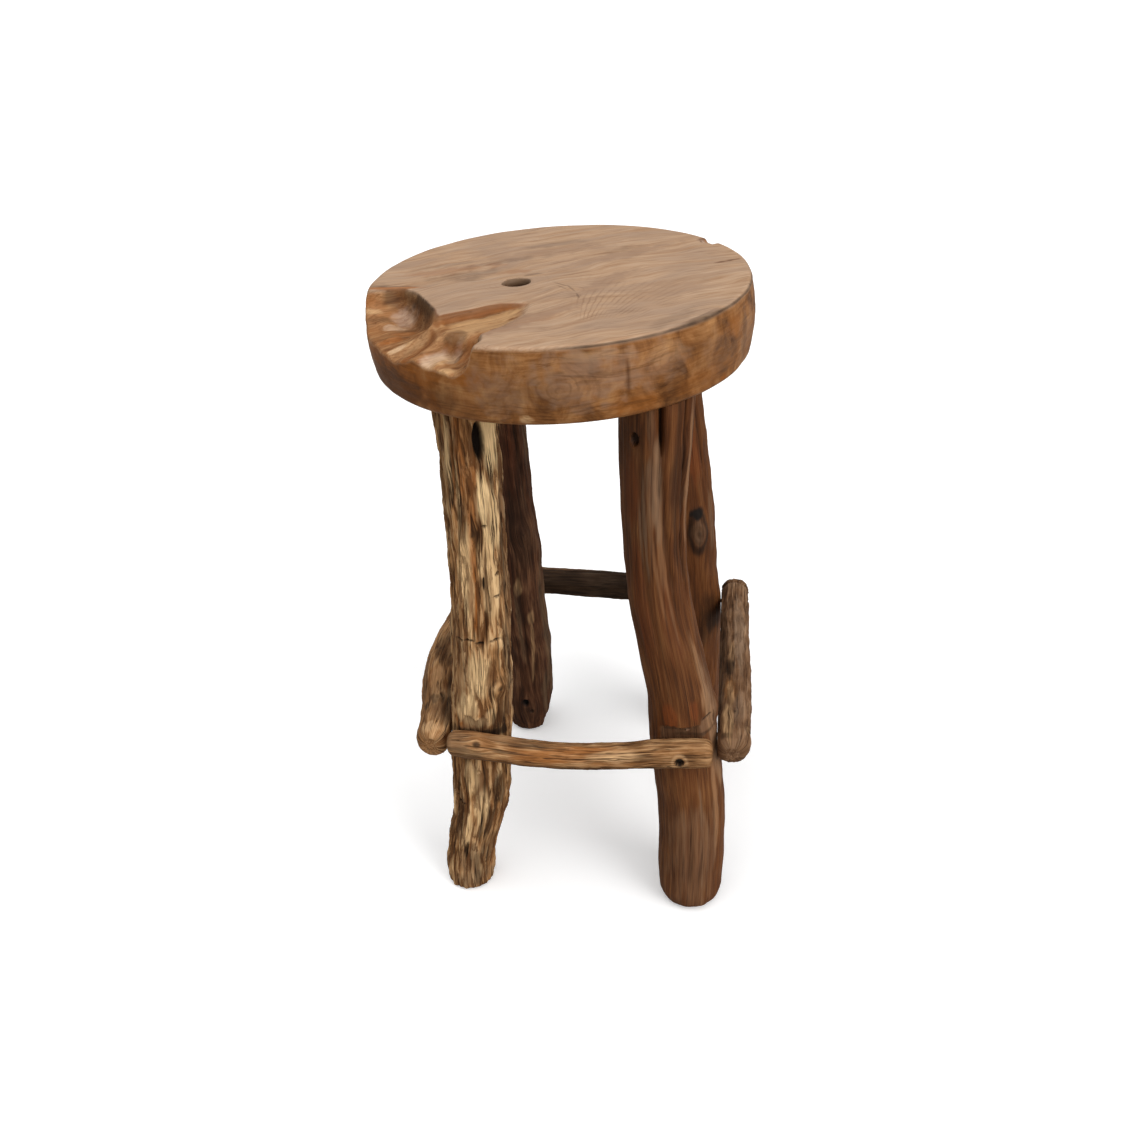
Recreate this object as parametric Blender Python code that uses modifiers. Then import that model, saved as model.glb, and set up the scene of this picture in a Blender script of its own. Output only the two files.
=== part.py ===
"""Rustic root-wood stool: a round slab seat on four branch legs, tied by four branch rails.

Units are metres, +Z is up, and the origin is on the floor under the middle of the stool.
Each leg stands under the seat on a dowel, and each rail is let into the outer faces of two
legs and held there by one sunk screw at each end.
"""

import math
from dataclasses import dataclass, field

import bmesh
import bpy
from mathutils import Matrix, Vector

# Overall sizes
STOOL_HEIGHT = 0.650
SEAT_DIAMETER = 0.360
SEAT_THICKNESS = 0.070
SEAT_TOP_ROUND = 0.005
SEAT_BOTTOM_ROUND = 0.008
SEAT_WALL_BULGE = 0.003

# The knot hole in the top of the seat
KNOT_HOLE_DIAMETER = 0.027
KNOT_HOLE_DEPTH = 0.042
KNOT_HOLE_PLACE = (-0.0375, -0.012)

# Dowels between the legs and the seat
DOWEL_DIAMETER = 0.022
DOWEL_IN_SEAT = 0.034
DOWEL_IN_LEG = 0.036
DOWEL_CHAMFER = 0.002

# Screws through the rails into the legs
SCREW_HEAD_DIAMETER = 0.0090
SCREW_HEAD_HEIGHT = 0.0030
SCREW_SHANK_DIAMETER = 0.0045
SCREW_LENGTH = 0.045
SCREW_POINT = 0.006
SCREW_SINK = 0.005

# Housings in the legs, and the flat on a rail's inner side that sits in them
HOUSING_ABOVE = 0.008
HOUSING_BELOW = 0.001
RAIL_FLAT = 0.002

# The gap that seated pieces keep, and the gap between butting rail ends
SEATING_GAP = 0.0003
BUTT_GAP = 0.0015

# Mesh fineness
LEG_SIDES = 20
LEG_RINGS = 22
RAIL_SIDES = 16
RAIL_RINGS = 16
SEAT_SIDES = 72
ROUND_STEPS = 3
WALL_STEPS = 6
FASTENER_SIDES = 12
HOLLOW_SIDES = 24
PIT_SIDES = 8

SEAT_RADIUS = SEAT_DIAMETER / 2
SEAT_UNDERSIDE = STOOL_HEIGHT - SEAT_THICKNESS
LEG_LENGTH = SEAT_UNDERSIDE - SEATING_GAP
UP = Vector((0, 0, 1))


@dataclass
class Hollow:
    """A weathered hollow in the seat's top edge: part of an egg-shaped bowl."""

    from_rim: float
    bearing: float
    half_length: float
    half_width: float
    depth: float
    turn: float = 0.0


@dataclass
class Flute:
    """A groove along a branch, from one share of its length to another."""

    start: float
    end: float
    start_bearing: float
    end_bearing: float
    half_angle: float
    depth: float


@dataclass
class Knot:
    """A swelling on a branch, or a pit where the height is negative."""

    share: float
    bearing: float
    half_angle: float
    half_length: float
    height: float


@dataclass
class Pit:
    """A narrow cavity in a branch, shaped like a seed, that a Boolean takes out."""

    share: float
    bearing: float
    half_width: float
    half_length: float
    depth: float


@dataclass
class Station:
    """A place along a branch: how far it bends to two sides there, and its swell as a share of the diameter."""

    share: float
    bend: float
    second_bend: float
    swell: float

    def values(self):
        """The bends and the swell, in that order."""
        return self.bend, self.second_bend, self.swell


@dataclass
class Branch:
    """A natural branch: its thickness, bends, ovalness, grooves and knots."""

    diameter: float
    stations: list
    oval: float = 0.0
    oval_bearing: float = 0.0
    end_round: float = 0.0
    flutes: list = field(default_factory=list)
    knots: list = field(default_factory=list)
    pits: list = field(default_factory=list)

    def station(self, share):
        """Bends and swell at a share of the length, on a smooth curve through the stations."""
        rows = self.stations
        last = len(rows) - 1
        index = max(i for i in range(last) if rows[i].share <= share or i == 0)
        before, start, end, after = (rows[max(0, min(last, index + k))] for k in (-1, 0, 1, 2))
        span = end.share - start.share
        t = (share - start.share) / span
        values = []
        for first, second, third, fourth in zip(before.values(), start.values(), end.values(), after.values()):
            slope_in = (third - first) / max(end.share - before.share, span) * span
            slope_out = (fourth - second) / max(after.share - start.share, span) * span
            values.append(
                (2 * t**3 - 3 * t**2 + 1) * second
                + (t**3 - 2 * t**2 + t) * slope_in
                + (3 * t**2 - 2 * t**3) * third
                + (t**3 - t**2) * slope_out
            )
        return values

    def radius(self, share, bearing, length):
        """Distance from the branch's centre to its bark at a share of its length."""
        size = self.diameter / 2 * self.station(share)[2]
        size *= 1 + self.oval * math.cos(2 * (bearing - math.radians(self.oval_bearing)))
        for flute in self.flutes:
            if flute.start < share < flute.end:
                t = (share - flute.start) / (flute.end - flute.start)
                middle = flute.start_bearing + (flute.end_bearing - flute.start_bearing) * t
                away = abs(turn_between(bearing, math.radians(middle))) / math.radians(flute.half_angle)
                size -= flute.depth * bell(away) * min(1.0, 3 * t)
        for knot in self.knots:
            around = turn_between(bearing, math.radians(knot.bearing)) / math.radians(knot.half_angle)
            along = (share - knot.share) * length / knot.half_length
            size += knot.height * bell(math.hypot(around, along))
        from_end = min(share, 1 - share) * length
        if from_end < self.end_round:
            size -= self.end_round * (1 - math.sqrt(1 - (1 - from_end / self.end_round) ** 2))
        return size


def bell(away):
    """A smooth bump that is 1 at its middle and 0 from 1 outwards."""
    return 0.5 + 0.5 * math.cos(math.pi * away) if away < 1 else 0.0


def turn_between(one, other):
    """The signed turn from one bearing to another, in radians."""
    return (one - other + math.pi) % (2 * math.pi) - math.pi


SEAT_HOLLOWS = {
    "pocket": Hollow(from_rim=-0.004, bearing=208, half_length=0.070, half_width=0.060, depth=0.029, turn=20),
    "front_scoop": Hollow(from_rim=-0.004, bearing=243, half_length=0.044, half_width=0.036, depth=0.030, turn=60),
    "rim_scoop": Hollow(from_rim=-0.006, bearing=227, half_length=0.046, half_width=0.044, depth=0.025, turn=47),
    "tongue": Hollow(from_rim=0.058, bearing=240, half_length=0.062, half_width=0.036, depth=0.010, turn=40),
}


@dataclass
class Leg:
    """A leg from its foot on the floor to its head under the seat, set in from the seat's rim."""

    name: str
    foot: tuple
    head_bearing: float
    head_inset: float
    branch: Branch
    wood: str

    def centre(self, height):
        """Middle of the leg at a height above the floor."""
        share = height / LEG_LENGTH
        foot = Vector((*self.foot, 0))
        bend_x, bend_y, _ = self.branch.station(share)
        return foot.lerp(self.head(), share) + Vector((bend_x, bend_y, 0))

    def head(self):
        """Middle of the leg's top, a gap below the seat."""
        reach = SEAT_RADIUS - self.head_inset
        bearing = math.radians(self.head_bearing)
        return Vector((reach * math.cos(bearing), reach * math.sin(bearing), LEG_LENGTH))

    def reach(self, height, outward):
        """How far the leg's bark stands from its centre in a level direction."""
        share = height / LEG_LENGTH
        facing = math.atan2(outward.y, outward.x)
        bearings = [facing + math.radians(step) for step in range(-60, 61, 5)]
        return max(self.branch.radius(share, b, LEG_LENGTH) * math.cos(b - facing) for b in bearings)


LEGS = {
    "front_left": Leg(
        name="leg_front_left",
        foot=(-0.127, -0.1445),
        head_bearing=230,
        head_inset=0.057,
        wood="pale_bark",
        branch=Branch(
            diameter=0.060,
            oval=0.03,
            oval_bearing=0,
            end_round=0.006,
            stations=[
                Station(0.00, 0.000, 0.000, 0.83),
                Station(0.09, 0.004, 0.000, 0.86),
                Station(0.13, 0.007, 0.000, 0.87),
                Station(0.18, 0.015, 0.000, 0.98),
                Station(0.28, 0.015, 0.000, 1.03),
                Station(0.44, 0.016, 0.000, 1.02),
                Station(0.60, 0.015, 0.000, 0.95),
                Station(0.78, 0.010, 0.000, 0.93),
                Station(1.00, 0.000, 0.000, 0.94),
            ],
            knots=[Knot(0.44, 319, 26, 0.020, 0.0025), Knot(0.73, 277, 24, 0.022, 0.002)],
            pits=[Pit(0.945, 298, 0.0065, 0.025, 0.012)],
        ),
    ),
    "front_right": Leg(
        name="leg_front_right",
        foot=(0.1245, -0.147),
        head_bearing=-46,
        head_inset=0.040,
        wood="red_heartwood",
        branch=Branch(
            diameter=0.070,
            oval=0.03,
            oval_bearing=90,
            end_round=0.015,
            stations=[
                Station(0.00, 0.000, 0.000, 1.00),
                Station(0.06, 0.003, 0.000, 1.02),
                Station(0.20, 0.008, 0.000, 1.04),
                Station(0.29, 0.007, 0.000, 1.05),
                Station(0.37, 0.004, 0.000, 1.04),
                Station(0.45, 0.0035, 0.000, 0.97),
                Station(0.56, -0.0045, 0.000, 0.92),
                Station(0.65, -0.011, 0.000, 0.88),
                Station(0.79, -0.011, 0.000, 0.88),
                Station(0.93, -0.004, 0.000, 1.00),
                Station(1.00, 0.000, 0.000, 1.05),
            ],
            flutes=[
                Flute(0.45, 1.00, -33, -44, 22, 0.010),
            ],
            pits=[Pit(0.965, -77, 0.004, 0.030, 0.012)],
        ),
    ),
    "rear_left": Leg(
        name="leg_rear_left",
        foot=(-0.0985, 0.142),
        head_bearing=135,
        head_inset=0.053,
        wood="dark_heartwood",
        branch=Branch(
            diameter=0.064,
            oval=0.04,
            oval_bearing=90,
            end_round=0.010,
            stations=[
                Station(0.00, 0.000, 0.000, 0.92),
                Station(0.07, 0.000, 0.000, 1.02),
                Station(0.19, 0.003, 0.000, 1.04),
                Station(0.29, 0.002, 0.000, 1.04),
                Station(0.40, 0.000, 0.000, 1.03),
                Station(0.50, 0.003, 0.000, 0.99),
                Station(0.58, 0.000, 0.000, 0.96),
                Station(0.76, 0.000, 0.000, 0.91),
                Station(1.00, 0.000, 0.000, 0.89),
            ],
            pits=[Pit(0.05, 262, 0.009, 0.014, 0.008)],
            knots=[Knot(0.51, 330, 28, 0.026, 0.003), Knot(0.20, 345, 30, 0.040, 0.003)],
        ),
    ),
    "rear_right": Leg(
        name="leg_rear_right",
        foot=(0.120, 0.142),
        head_bearing=43,
        head_inset=0.047,
        wood="red_heartwood",
        branch=Branch(
            diameter=0.063,
            oval=0.03,
            oval_bearing=0,
            end_round=0.010,
            stations=[
                Station(0.00, 0.000, 0.000, 0.95),
                Station(0.12, 0.003, 0.000, 1.05),
                Station(0.25, 0.005, 0.000, 1.08),
                Station(0.36, 0.0075, 0.000, 1.12),
                Station(0.44, 0.006, 0.000, 1.04),
                Station(0.55, 0.008, 0.000, 1.00),
                Station(0.65, 0.007, 0.000, 0.94),
                Station(0.75, 0.005, 0.000, 0.91),
                Station(0.85, 0.002, 0.000, 0.89),
                Station(1.00, 0.000, 0.000, 0.88),
            ],
            knots=[Knot(0.55, 292, 34, 0.026, 0.004)],
        ),
    ),
}


@dataclass
class Rail:
    """A rail from one leg to the next, seen from outside with its length running to the left.

    The heights are its middle's at the two legs, and the housings are how deep the legs are cut.
    """

    name: str
    legs: tuple
    heights: tuple
    housings: tuple
    branch: Branch
    wood: str
    overhangs: tuple = None

    def end_radius(self, end):
        """The rail's own thickness where it crosses a leg, from its middle to its bark."""
        share = 0.12 if end == 0 else 0.88
        return self.branch.diameter / 2 * self.branch.station(share)[2]

    def seat_plane(self):
        """Where the flat on the rail's inner side lies, from its middle."""
        return -(min(self.end_radius(0), self.end_radius(1)) - RAIL_FLAT)

    def frame(self):
        """Crossing points of the rail's middle on the two legs, and its outward, up and run directions."""
        legs = [LEGS[key] for key in self.legs]
        middles = [leg.centre(height) for leg, height in zip(legs, self.heights)]
        run = (middles[1] - middles[0]).normalized()
        for _ in range(4):
            outward = UP.cross(run).normalized()
            points = [
                middle + outward * (leg.reach(height, outward) - housing - self.seat_plane())
                for leg, height, housing, middle in zip(legs, self.heights, self.housings, middles)
            ]
            run = (points[1] - points[0]).normalized()
        return points, outward, run.cross(outward), run


RAILS = {
    "front": Rail(
        name="rail_front",
        legs=("front_right", "front_left"),
        heights=(0.2185, 0.2155),
        housings=(0.0115, 0.005),
        wood="golden_branch",
        branch=Branch(
            diameter=0.029,
            oval=0.03,
            oval_bearing=90,
            end_round=0.007,
            stations=[
                Station(0.00, 0.000, 0.000, 0.98),
                Station(0.15, 0.000, 0.000, 1.03),
                Station(0.30, 0.002, -0.004, 0.97),
                Station(0.45, 0.004, -0.006, 0.90),
                Station(0.62, 0.004, -0.006, 0.95),
                Station(0.78, 0.002, -0.003, 0.99),
                Station(0.92, 0.000, 0.001, 1.00),
                Station(1.00, 0.000, 0.002, 0.88),
            ],
            knots=[Knot(0.20, 0, 50, 0.016, 0.0012), Knot(0.86, 20, 50, 0.016, 0.0012)],
        ),
    ),
    "left": Rail(
        name="rail_left",
        legs=("front_left", "rear_left"),
        heights=(0.2110, 0.2110),
        housings=(0.0005, 0.0015),
        overhangs=(0.036, 0.032),
        wood="golden_branch",
        branch=Branch(
            diameter=0.037,
            oval=0.05,
            oval_bearing=90,
            end_round=0.010,
            stations=[
                Station(0.00, 0.000, 0.000, 0.97),
                Station(0.11, 0.000, 0.000, 1.00),
                Station(0.30, 0.013, 0.000, 1.02),
                Station(0.50, 0.019, -0.002, 1.00),
                Station(0.70, 0.013, 0.000, 1.00),
                Station(0.89, 0.000, 0.000, 1.00),
                Station(1.00, -0.001, 0.000, 0.95),
            ],
            knots=[Knot(0.36, 30, 40, 0.022, 0.0015)],
        ),
    ),
    "rear": Rail(
        name="rail_rear",
        legs=("rear_left", "rear_right"),
        heights=(0.2060, 0.1910),
        housings=(0.0060, 0.0065),
        wood="grey_branch",
        branch=Branch(
            diameter=0.034,
            oval=0.03,
            oval_bearing=0,
            end_round=0.008,
            stations=[
                Station(0.00, 0.000, 0.000, 0.96),
                Station(0.15, 0.000, 0.000, 1.00),
                Station(0.40, 0.002, -0.001, 1.00),
                Station(0.65, 0.002, 0.000, 1.06),
                Station(0.85, 0.000, 0.000, 1.06),
                Station(1.00, 0.000, 0.000, 1.00),
            ],
        ),
    ),
    "right": Rail(
        name="rail_right",
        legs=("rear_right", "front_right"),
        heights=(0.2070, 0.2120),
        housings=(0.0010, 0.0010),
        overhangs=(0.025, 0.030),
        wood="grey_branch",
        branch=Branch(
            diameter=0.036,
            oval=0.02,
            oval_bearing=0,
            end_round=0.012,
            stations=[
                Station(0.00, 0.000, 0.000, 0.92),
                Station(0.12, 0.000, 0.000, 0.98),
                Station(0.35, 0.000, 0.001, 0.98),
                Station(0.55, 0.001, 0.000, 1.01),
                Station(0.75, 0.001, -0.001, 1.01),
                Station(0.88, 0.000, 0.000, 1.00),
                Station(1.00, 0.000, -0.001, 0.97),
            ],
            knots=[Knot(0.48, 40, 50, 0.016, -0.0015)],
        ),
    ),
}

# Colour, roughness and metallic value of each finish
FINISHES = {
    "slab_wood": ((0.36, 0.21, 0.10), 0.45, 0.0),
    "pale_bark": ((0.38, 0.24, 0.11), 0.75, 0.0),
    "red_heartwood": ((0.15, 0.06, 0.025), 0.55, 0.0),
    "dark_heartwood": ((0.06, 0.03, 0.015), 0.65, 0.0),
    "golden_branch": ((0.26, 0.14, 0.055), 0.60, 0.0),
    "grey_branch": ((0.14, 0.08, 0.04), 0.70, 0.0),
    "dowel_wood": ((0.45, 0.30, 0.16), 0.60, 0.0),
    "dark_steel": ((0.05, 0.045, 0.04), 0.50, 0.9),
}


def clear_scene():
    """Removes every object in the scene."""
    for obj in list(bpy.data.objects):
        bpy.data.objects.remove(obj)


def new_collection(name):
    """A new collection in the scene."""
    collection = bpy.data.collections.new(name)
    bpy.context.scene.collection.children.link(collection)
    return collection


def finish(name):
    """The material of a finish, made once."""
    if name in bpy.data.materials:
        return bpy.data.materials[name]
    colour, roughness, metallic = FINISHES[name]
    material = bpy.data.materials.new(name)
    material.use_nodes = True
    shader = material.node_tree.nodes["Principled BSDF"]
    shader.inputs["Base Color"].default_value = (*colour, 1)
    shader.inputs["Roughness"].default_value = roughness
    shader.inputs["Metallic"].default_value = metallic
    material.diffuse_color = (*colour, 1)
    return material


def new_object(name, bm, collection, wood=None, matrix=None):
    """An object made from a bmesh, placed by a matrix, in a collection."""
    bmesh.ops.recalc_face_normals(bm, faces=bm.faces)
    mesh = bpy.data.meshes.new(name)
    bm.to_mesh(mesh)
    bm.free()
    mesh.shade_smooth()
    mesh.set_sharp_from_angle(angle=math.radians(35))
    obj = bpy.data.objects.new(name, mesh)
    collection.objects.link(obj)
    if wood:
        mesh.materials.append(finish(wood))
    if matrix:
        obj.matrix_world = matrix
    return obj


def cut(obj, cutter):
    """Takes a cutter away from a piece."""
    modifier = obj.modifiers.new(cutter.name, "BOOLEAN")
    modifier.operation = "DIFFERENCE"
    modifier.object = cutter
    cutter.hide_render = True
    cutter.display_type = "WIRE"


def skin(rings, sides, place):
    """A closed tube: a ring is extruded from station to station, and place(ring, side) puts its points."""
    bm = bmesh.new()
    ring = bmesh.ops.create_circle(bm, cap_ends=False, radius=1, segments=sides)["verts"]
    for index in range(rings + 1):
        if index:
            edges = [e for e in bm.edges if all(v in ring for v in e.verts)]
            made = bmesh.ops.extrude_edge_only(bm, edges=edges)["geom"]
            joined = {v: e.other_vert(v) for v in made if isinstance(v, bmesh.types.BMVert)
                      for e in v.link_edges if e.other_vert(v) in ring}
            ring = [next(new for new, old in joined.items() if old == v) for v in ring]
        for side, vert in enumerate(ring):
            vert.co = place(index, side)
    bmesh.ops.holes_fill(bm, edges=[e for e in bm.edges if e.is_boundary], sides=sides)
    return bm


def ring_shares(rings, length, end_round):
    """Shares of a branch's length where its rings lie, closer together over its rounded ends."""
    arc = [1 - math.cos(math.pi / 2 * step / ROUND_STEPS) for step in range(ROUND_STEPS)]
    near = [end_round / length * value for value in arc]
    first = end_round / length
    middle = [first + (1 - 2 * first) * step / rings for step in range(rings + 1)]
    return near + middle + [1 - share for share in reversed(near)]


def turned(profile, sides):
    """A closed solid of revolution about Z: a profile of (radius, height), spun with a Screw modifier."""
    mesh = bpy.data.meshes.new("profile")
    bm = bmesh.new()
    verts = [bm.verts.new((radius, 0, height)) for radius, height in profile]
    for one, other in zip(verts, verts[1:]):
        bm.edges.new((one, other))
    bm.to_mesh(mesh)
    bm.free()
    obj = bpy.data.objects.new("profile", mesh)
    bpy.context.scene.collection.objects.link(obj)
    screw = obj.modifiers.new("turn", "SCREW")
    screw.steps = sides
    screw.render_steps = sides
    screw.use_merge_vertices = True
    screw.merge_threshold = 1e-5
    graph = bpy.context.evaluated_depsgraph_get()
    spun = bpy.data.meshes.new_from_object(obj.evaluated_get(graph))
    bpy.data.objects.remove(obj)
    bm = bmesh.new()
    bm.from_mesh(spun)
    bmesh.ops.remove_doubles(bm, verts=bm.verts, dist=1e-6)
    return bm


def box(low, high):
    """A box between two corners."""
    bm = bmesh.new()
    bmesh.ops.create_cube(bm, size=1)
    low, high = Vector(low), Vector(high)
    size = high - low
    bmesh.ops.scale(bm, verts=bm.verts, vec=size)
    bmesh.ops.translate(bm, verts=bm.verts, vec=(low + high) / 2)
    return bm


def quarter(middle, radius, start):
    """Points of a quarter circle, clockwise from a bearing in degrees."""
    bearings = [math.radians(start - 90 * step / ROUND_STEPS) for step in range(ROUND_STEPS + 1)]
    return [(middle[0] + radius * math.cos(b), middle[1] + radius * math.sin(b)) for b in bearings]


def build_seat(parts, cutters):
    """The slab seat, with its knot hole and the hollows in its front left edge."""
    top_corner = (SEAT_RADIUS - SEAT_TOP_ROUND, STOOL_HEIGHT - SEAT_TOP_ROUND)
    bottom_corner = (SEAT_RADIUS - SEAT_BOTTOM_ROUND, SEAT_UNDERSIDE + SEAT_BOTTOM_ROUND)
    steps = [step / WALL_STEPS for step in range(1, WALL_STEPS)]
    fall = top_corner[1] - bottom_corner[1]
    wall = [(SEAT_RADIUS + SEAT_WALL_BULGE * math.sin(math.pi * t), top_corner[1] - fall * t) for t in steps]
    profile = [
        (0, STOOL_HEIGHT),
        *quarter(top_corner, SEAT_TOP_ROUND, 90),
        *wall,
        *quarter(bottom_corner, SEAT_BOTTOM_ROUND, 0),
        (0, SEAT_UNDERSIDE),
    ]
    seat = new_object("seat", turned(profile, SEAT_SIDES), parts, "slab_wood")

    for name, hollow in SEAT_HOLLOWS.items():
        bm = bmesh.new()
        bmesh.ops.create_uvsphere(bm, u_segments=HOLLOW_SIDES, v_segments=HOLLOW_SIDES // 2, radius=1)
        bearing = math.radians(hollow.bearing)
        reach = SEAT_RADIUS - hollow.from_rim
        place = Vector((reach * math.cos(bearing), reach * math.sin(bearing), STOOL_HEIGHT))
        size = (hollow.half_length, hollow.half_width, hollow.depth)
        bmesh.ops.scale(bm, verts=bm.verts, vec=size)
        matrix = Matrix.Translation(place) @ Matrix.Rotation(math.radians(hollow.turn), 4, "Z")
        cut(seat, new_object("cut_" + name, bm, cutters, matrix=matrix))

    radius = KNOT_HOLE_DIAMETER / 2
    profile = [(0, 2 * radius), (radius, 2 * radius), (0.92 * radius, -KNOT_HOLE_DEPTH), (0, -KNOT_HOLE_DEPTH)]
    matrix = Matrix.Translation((*KNOT_HOLE_PLACE, STOOL_HEIGHT))
    cut(seat, new_object("cut_knot_hole", turned(profile, FASTENER_SIDES), cutters, matrix=matrix))
    return seat


def build_leg(leg, parts, cutters):
    """One leg, with flat ends for the floor and the seat."""
    shares = ring_shares(LEG_RINGS, LEG_LENGTH, leg.branch.end_round)
    shares = [s for s in shares if s <= 1 - leg.branch.end_round / LEG_LENGTH] + [1.0]
    foot = Vector((*leg.foot, 0))

    def place(ring, side):
        share = shares[ring]
        bearing = 2 * math.pi * side / LEG_SIDES
        if share == 1.0:
            radius = leg.branch.radius(shares[ring - 1], bearing, LEG_LENGTH)
        else:
            radius = leg.branch.radius(share, bearing, LEG_LENGTH)
        middle = leg.centre(share * LEG_LENGTH) - foot
        return middle + Vector((radius * math.cos(bearing), radius * math.sin(bearing), 0))

    bm = skin(len(shares) - 1, LEG_SIDES, place)
    leg_object = new_object(leg.name, bm, parts, leg.wood, Matrix.Translation(foot))
    for index, pit in enumerate(leg.branch.pits):
        bearing = math.radians(pit.bearing)
        radius = leg.branch.radius(pit.share, bearing, LEG_LENGTH)
        lean = leg.head() - foot
        middle = leg.centre(pit.share * LEG_LENGTH)
        bm = bmesh.new()
        bmesh.ops.create_uvsphere(bm, u_segments=PIT_SIDES, v_segments=PIT_SIDES, radius=1)
        bmesh.ops.scale(bm, verts=bm.verts, vec=(pit.depth, pit.half_width, pit.half_length))
        bmesh.ops.translate(bm, verts=bm.verts, vec=(radius, 0, 0))
        turn = UP.rotation_difference(lean).to_matrix().to_4x4() @ Matrix.Rotation(bearing, 4, "Z")
        matrix = Matrix.Translation(middle) @ turn
        cut(leg_object, new_object("cut_%s_pit_%d" % (leg.name, index), bm, cutters, matrix=matrix))
    return leg_object


def build_dowel(key, leg, seat, leg_object, parts, cutters):
    """The dowel between a leg's head and the seat, and its holes in both."""
    radius = DOWEL_DIAMETER / 2
    top, bottom = SEATING_GAP + DOWEL_IN_SEAT, -DOWEL_IN_LEG
    profile = [
        (0, top),
        (radius - DOWEL_CHAMFER, top),
        (radius, top - DOWEL_CHAMFER),
        (radius, bottom + DOWEL_CHAMFER),
        (radius - DOWEL_CHAMFER, bottom),
        (0, bottom),
    ]
    matrix = Matrix.Translation(leg.head())
    new_object("dowel_" + key, turned(profile, FASTENER_SIDES), parts, "dowel_wood", matrix)

    wide, gap = radius + SEATING_GAP, SEATING_GAP
    profile = [(0, top + gap), (wide, top + gap), (wide, bottom - gap), (0, bottom - gap)]
    hole = new_object("cut_dowel_" + key, turned(profile, FASTENER_SIDES), cutters, matrix=matrix)
    cut(seat, hole)
    cut(leg_object, hole)


def screw_profile(gap, above):
    """Half outline of a countersunk screw, its head's top at height 0, grown by a gap."""
    head, shank = SCREW_HEAD_DIAMETER / 2 + gap, SCREW_SHANK_DIAMETER / 2 + gap
    return [
        (0, above),
        (head, above),
        (head, -SCREW_HEAD_HEIGHT / 4 - gap),
        (shank, -SCREW_HEAD_HEIGHT - gap),
        (shank, SCREW_POINT - SCREW_LENGTH - gap),
        (0, -SCREW_LENGTH - gap),
    ]


def rail_ends(key):
    """How far a rail runs past its two crossings. A rail with no overhang of its own butts its neighbours."""
    rail = RAILS[key]
    if rail.overhangs:
        return rail.overhangs
    points, _, _, run = rail.frame()
    reaches = []
    for end, sign in ((0, -1), (1, 1)):
        neighbour = next(r for r in RAILS.values() if r is not rail and rail.legs[end] in r.legs)
        place = neighbour.legs.index(rail.legs[end])
        crossing, outward, _, _ = neighbour.frame()
        inner = crossing[place] + outward * (neighbour.seat_plane() - RAIL_FLAT - BUTT_GAP)
        reaches.append(abs((inner - points[end]).dot(outward) / (run * sign).dot(outward)))
    return tuple(reaches)


def build_rail(key, rail, leg_objects, parts, cutters):
    """One rail, its housings in two legs, and the screws that hold it."""
    points, outward, upward, run = rail.frame()
    before, after = rail_ends(key)
    span = (points[1] - points[0]).length
    length = before + span + after
    matrix = Matrix((outward, upward, run)).transposed().to_4x4()
    matrix.translation = points[0]
    shares = ring_shares(RAIL_RINGS, length, rail.branch.end_round)

    def place(ring, side):
        share = shares[ring]
        bearing = 2 * math.pi * side / RAIL_SIDES
        bend_out, bend_up, _ = rail.branch.station(share)
        radius = rail.branch.radius(share, bearing, length)
        return Vector((
            bend_out + radius * math.cos(bearing),
            bend_up + radius * math.sin(bearing),
            share * length - before,
        ))

    rail_object = new_object(rail.name, skin(len(shares) - 1, RAIL_SIDES, place), parts, rail.wood, matrix)

    thick = rail.branch.diameter
    floor = rail.seat_plane()
    inside = box((-2 * thick, -2 * thick, -before - thick), (floor + SEATING_GAP, 2 * thick, span + after + thick))
    cut(rail_object, new_object("cut_flat_" + key, inside, cutters, matrix=matrix))

    for end, leg_key in enumerate(rail.legs):
        side = "%s_at_%s" % (key, leg_key)
        leg_object = leg_objects[leg_key]
        radius = rail.end_radius(end) * (1 + rail.branch.oval)
        wide = LEGS[leg_key].branch.diameter
        along = end * span
        housing = box((floor, -radius - HOUSING_BELOW, along - wide), (wide, radius + HOUSING_ABOVE, along + wide))
        cut(leg_object, new_object("cut_housing_" + side, housing, cutters, matrix=matrix))

        head = Matrix.Translation((rail.end_radius(end) - SCREW_SINK, 0, along)) @ Matrix.Rotation(math.pi / 2, 4, "Y")
        screw_matrix = matrix @ head
        profile = screw_profile(0, 0)
        new_object("screw_" + side, turned(profile, FASTENER_SIDES), parts, "dark_steel", screw_matrix)
        profile = screw_profile(SEATING_GAP, 2 * SCREW_SINK)
        hole = new_object("cut_screw_" + side, turned(profile, FASTENER_SIDES), cutters, matrix=screw_matrix)
        cut(rail_object, hole)
        cut(leg_object, hole)


def main():
    """Builds every piece of the stool under one empty."""
    clear_scene()
    parts = new_collection("root_wood_stool")
    cutters = new_collection("cutters")
    seat = build_seat(parts, cutters)
    leg_objects = {key: build_leg(leg, parts, cutters) for key, leg in LEGS.items()}
    for key, leg in LEGS.items():
        build_dowel(key, leg, seat, leg_objects[key], parts, cutters)
    for key, rail in RAILS.items():
        build_rail(key, rail, leg_objects, parts, cutters)

    stool = bpy.data.objects.new("stool", None)
    parts.objects.link(stool)
    for obj in parts.objects:
        if obj is not stool:
            obj.parent = stool


main()
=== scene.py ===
"""Looks of the root-wood stool: a worn slab seat, four branch legs and four branch rails.

Every branch is measured from its CAD node, wrapped in a fine skin and carved with the ridges,
knots, clefts and checks of natural wood. Lengths are metres and bearings are degrees.
"""

import functools
import itertools
import logging
import math
from collections.abc import Callable
from dataclasses import dataclass, field
from enum import Enum

import bmesh
import bpy
import numpy as np
from mathutils import Matrix, Vector
from mathutils.bvhtree import BVHTree


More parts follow.
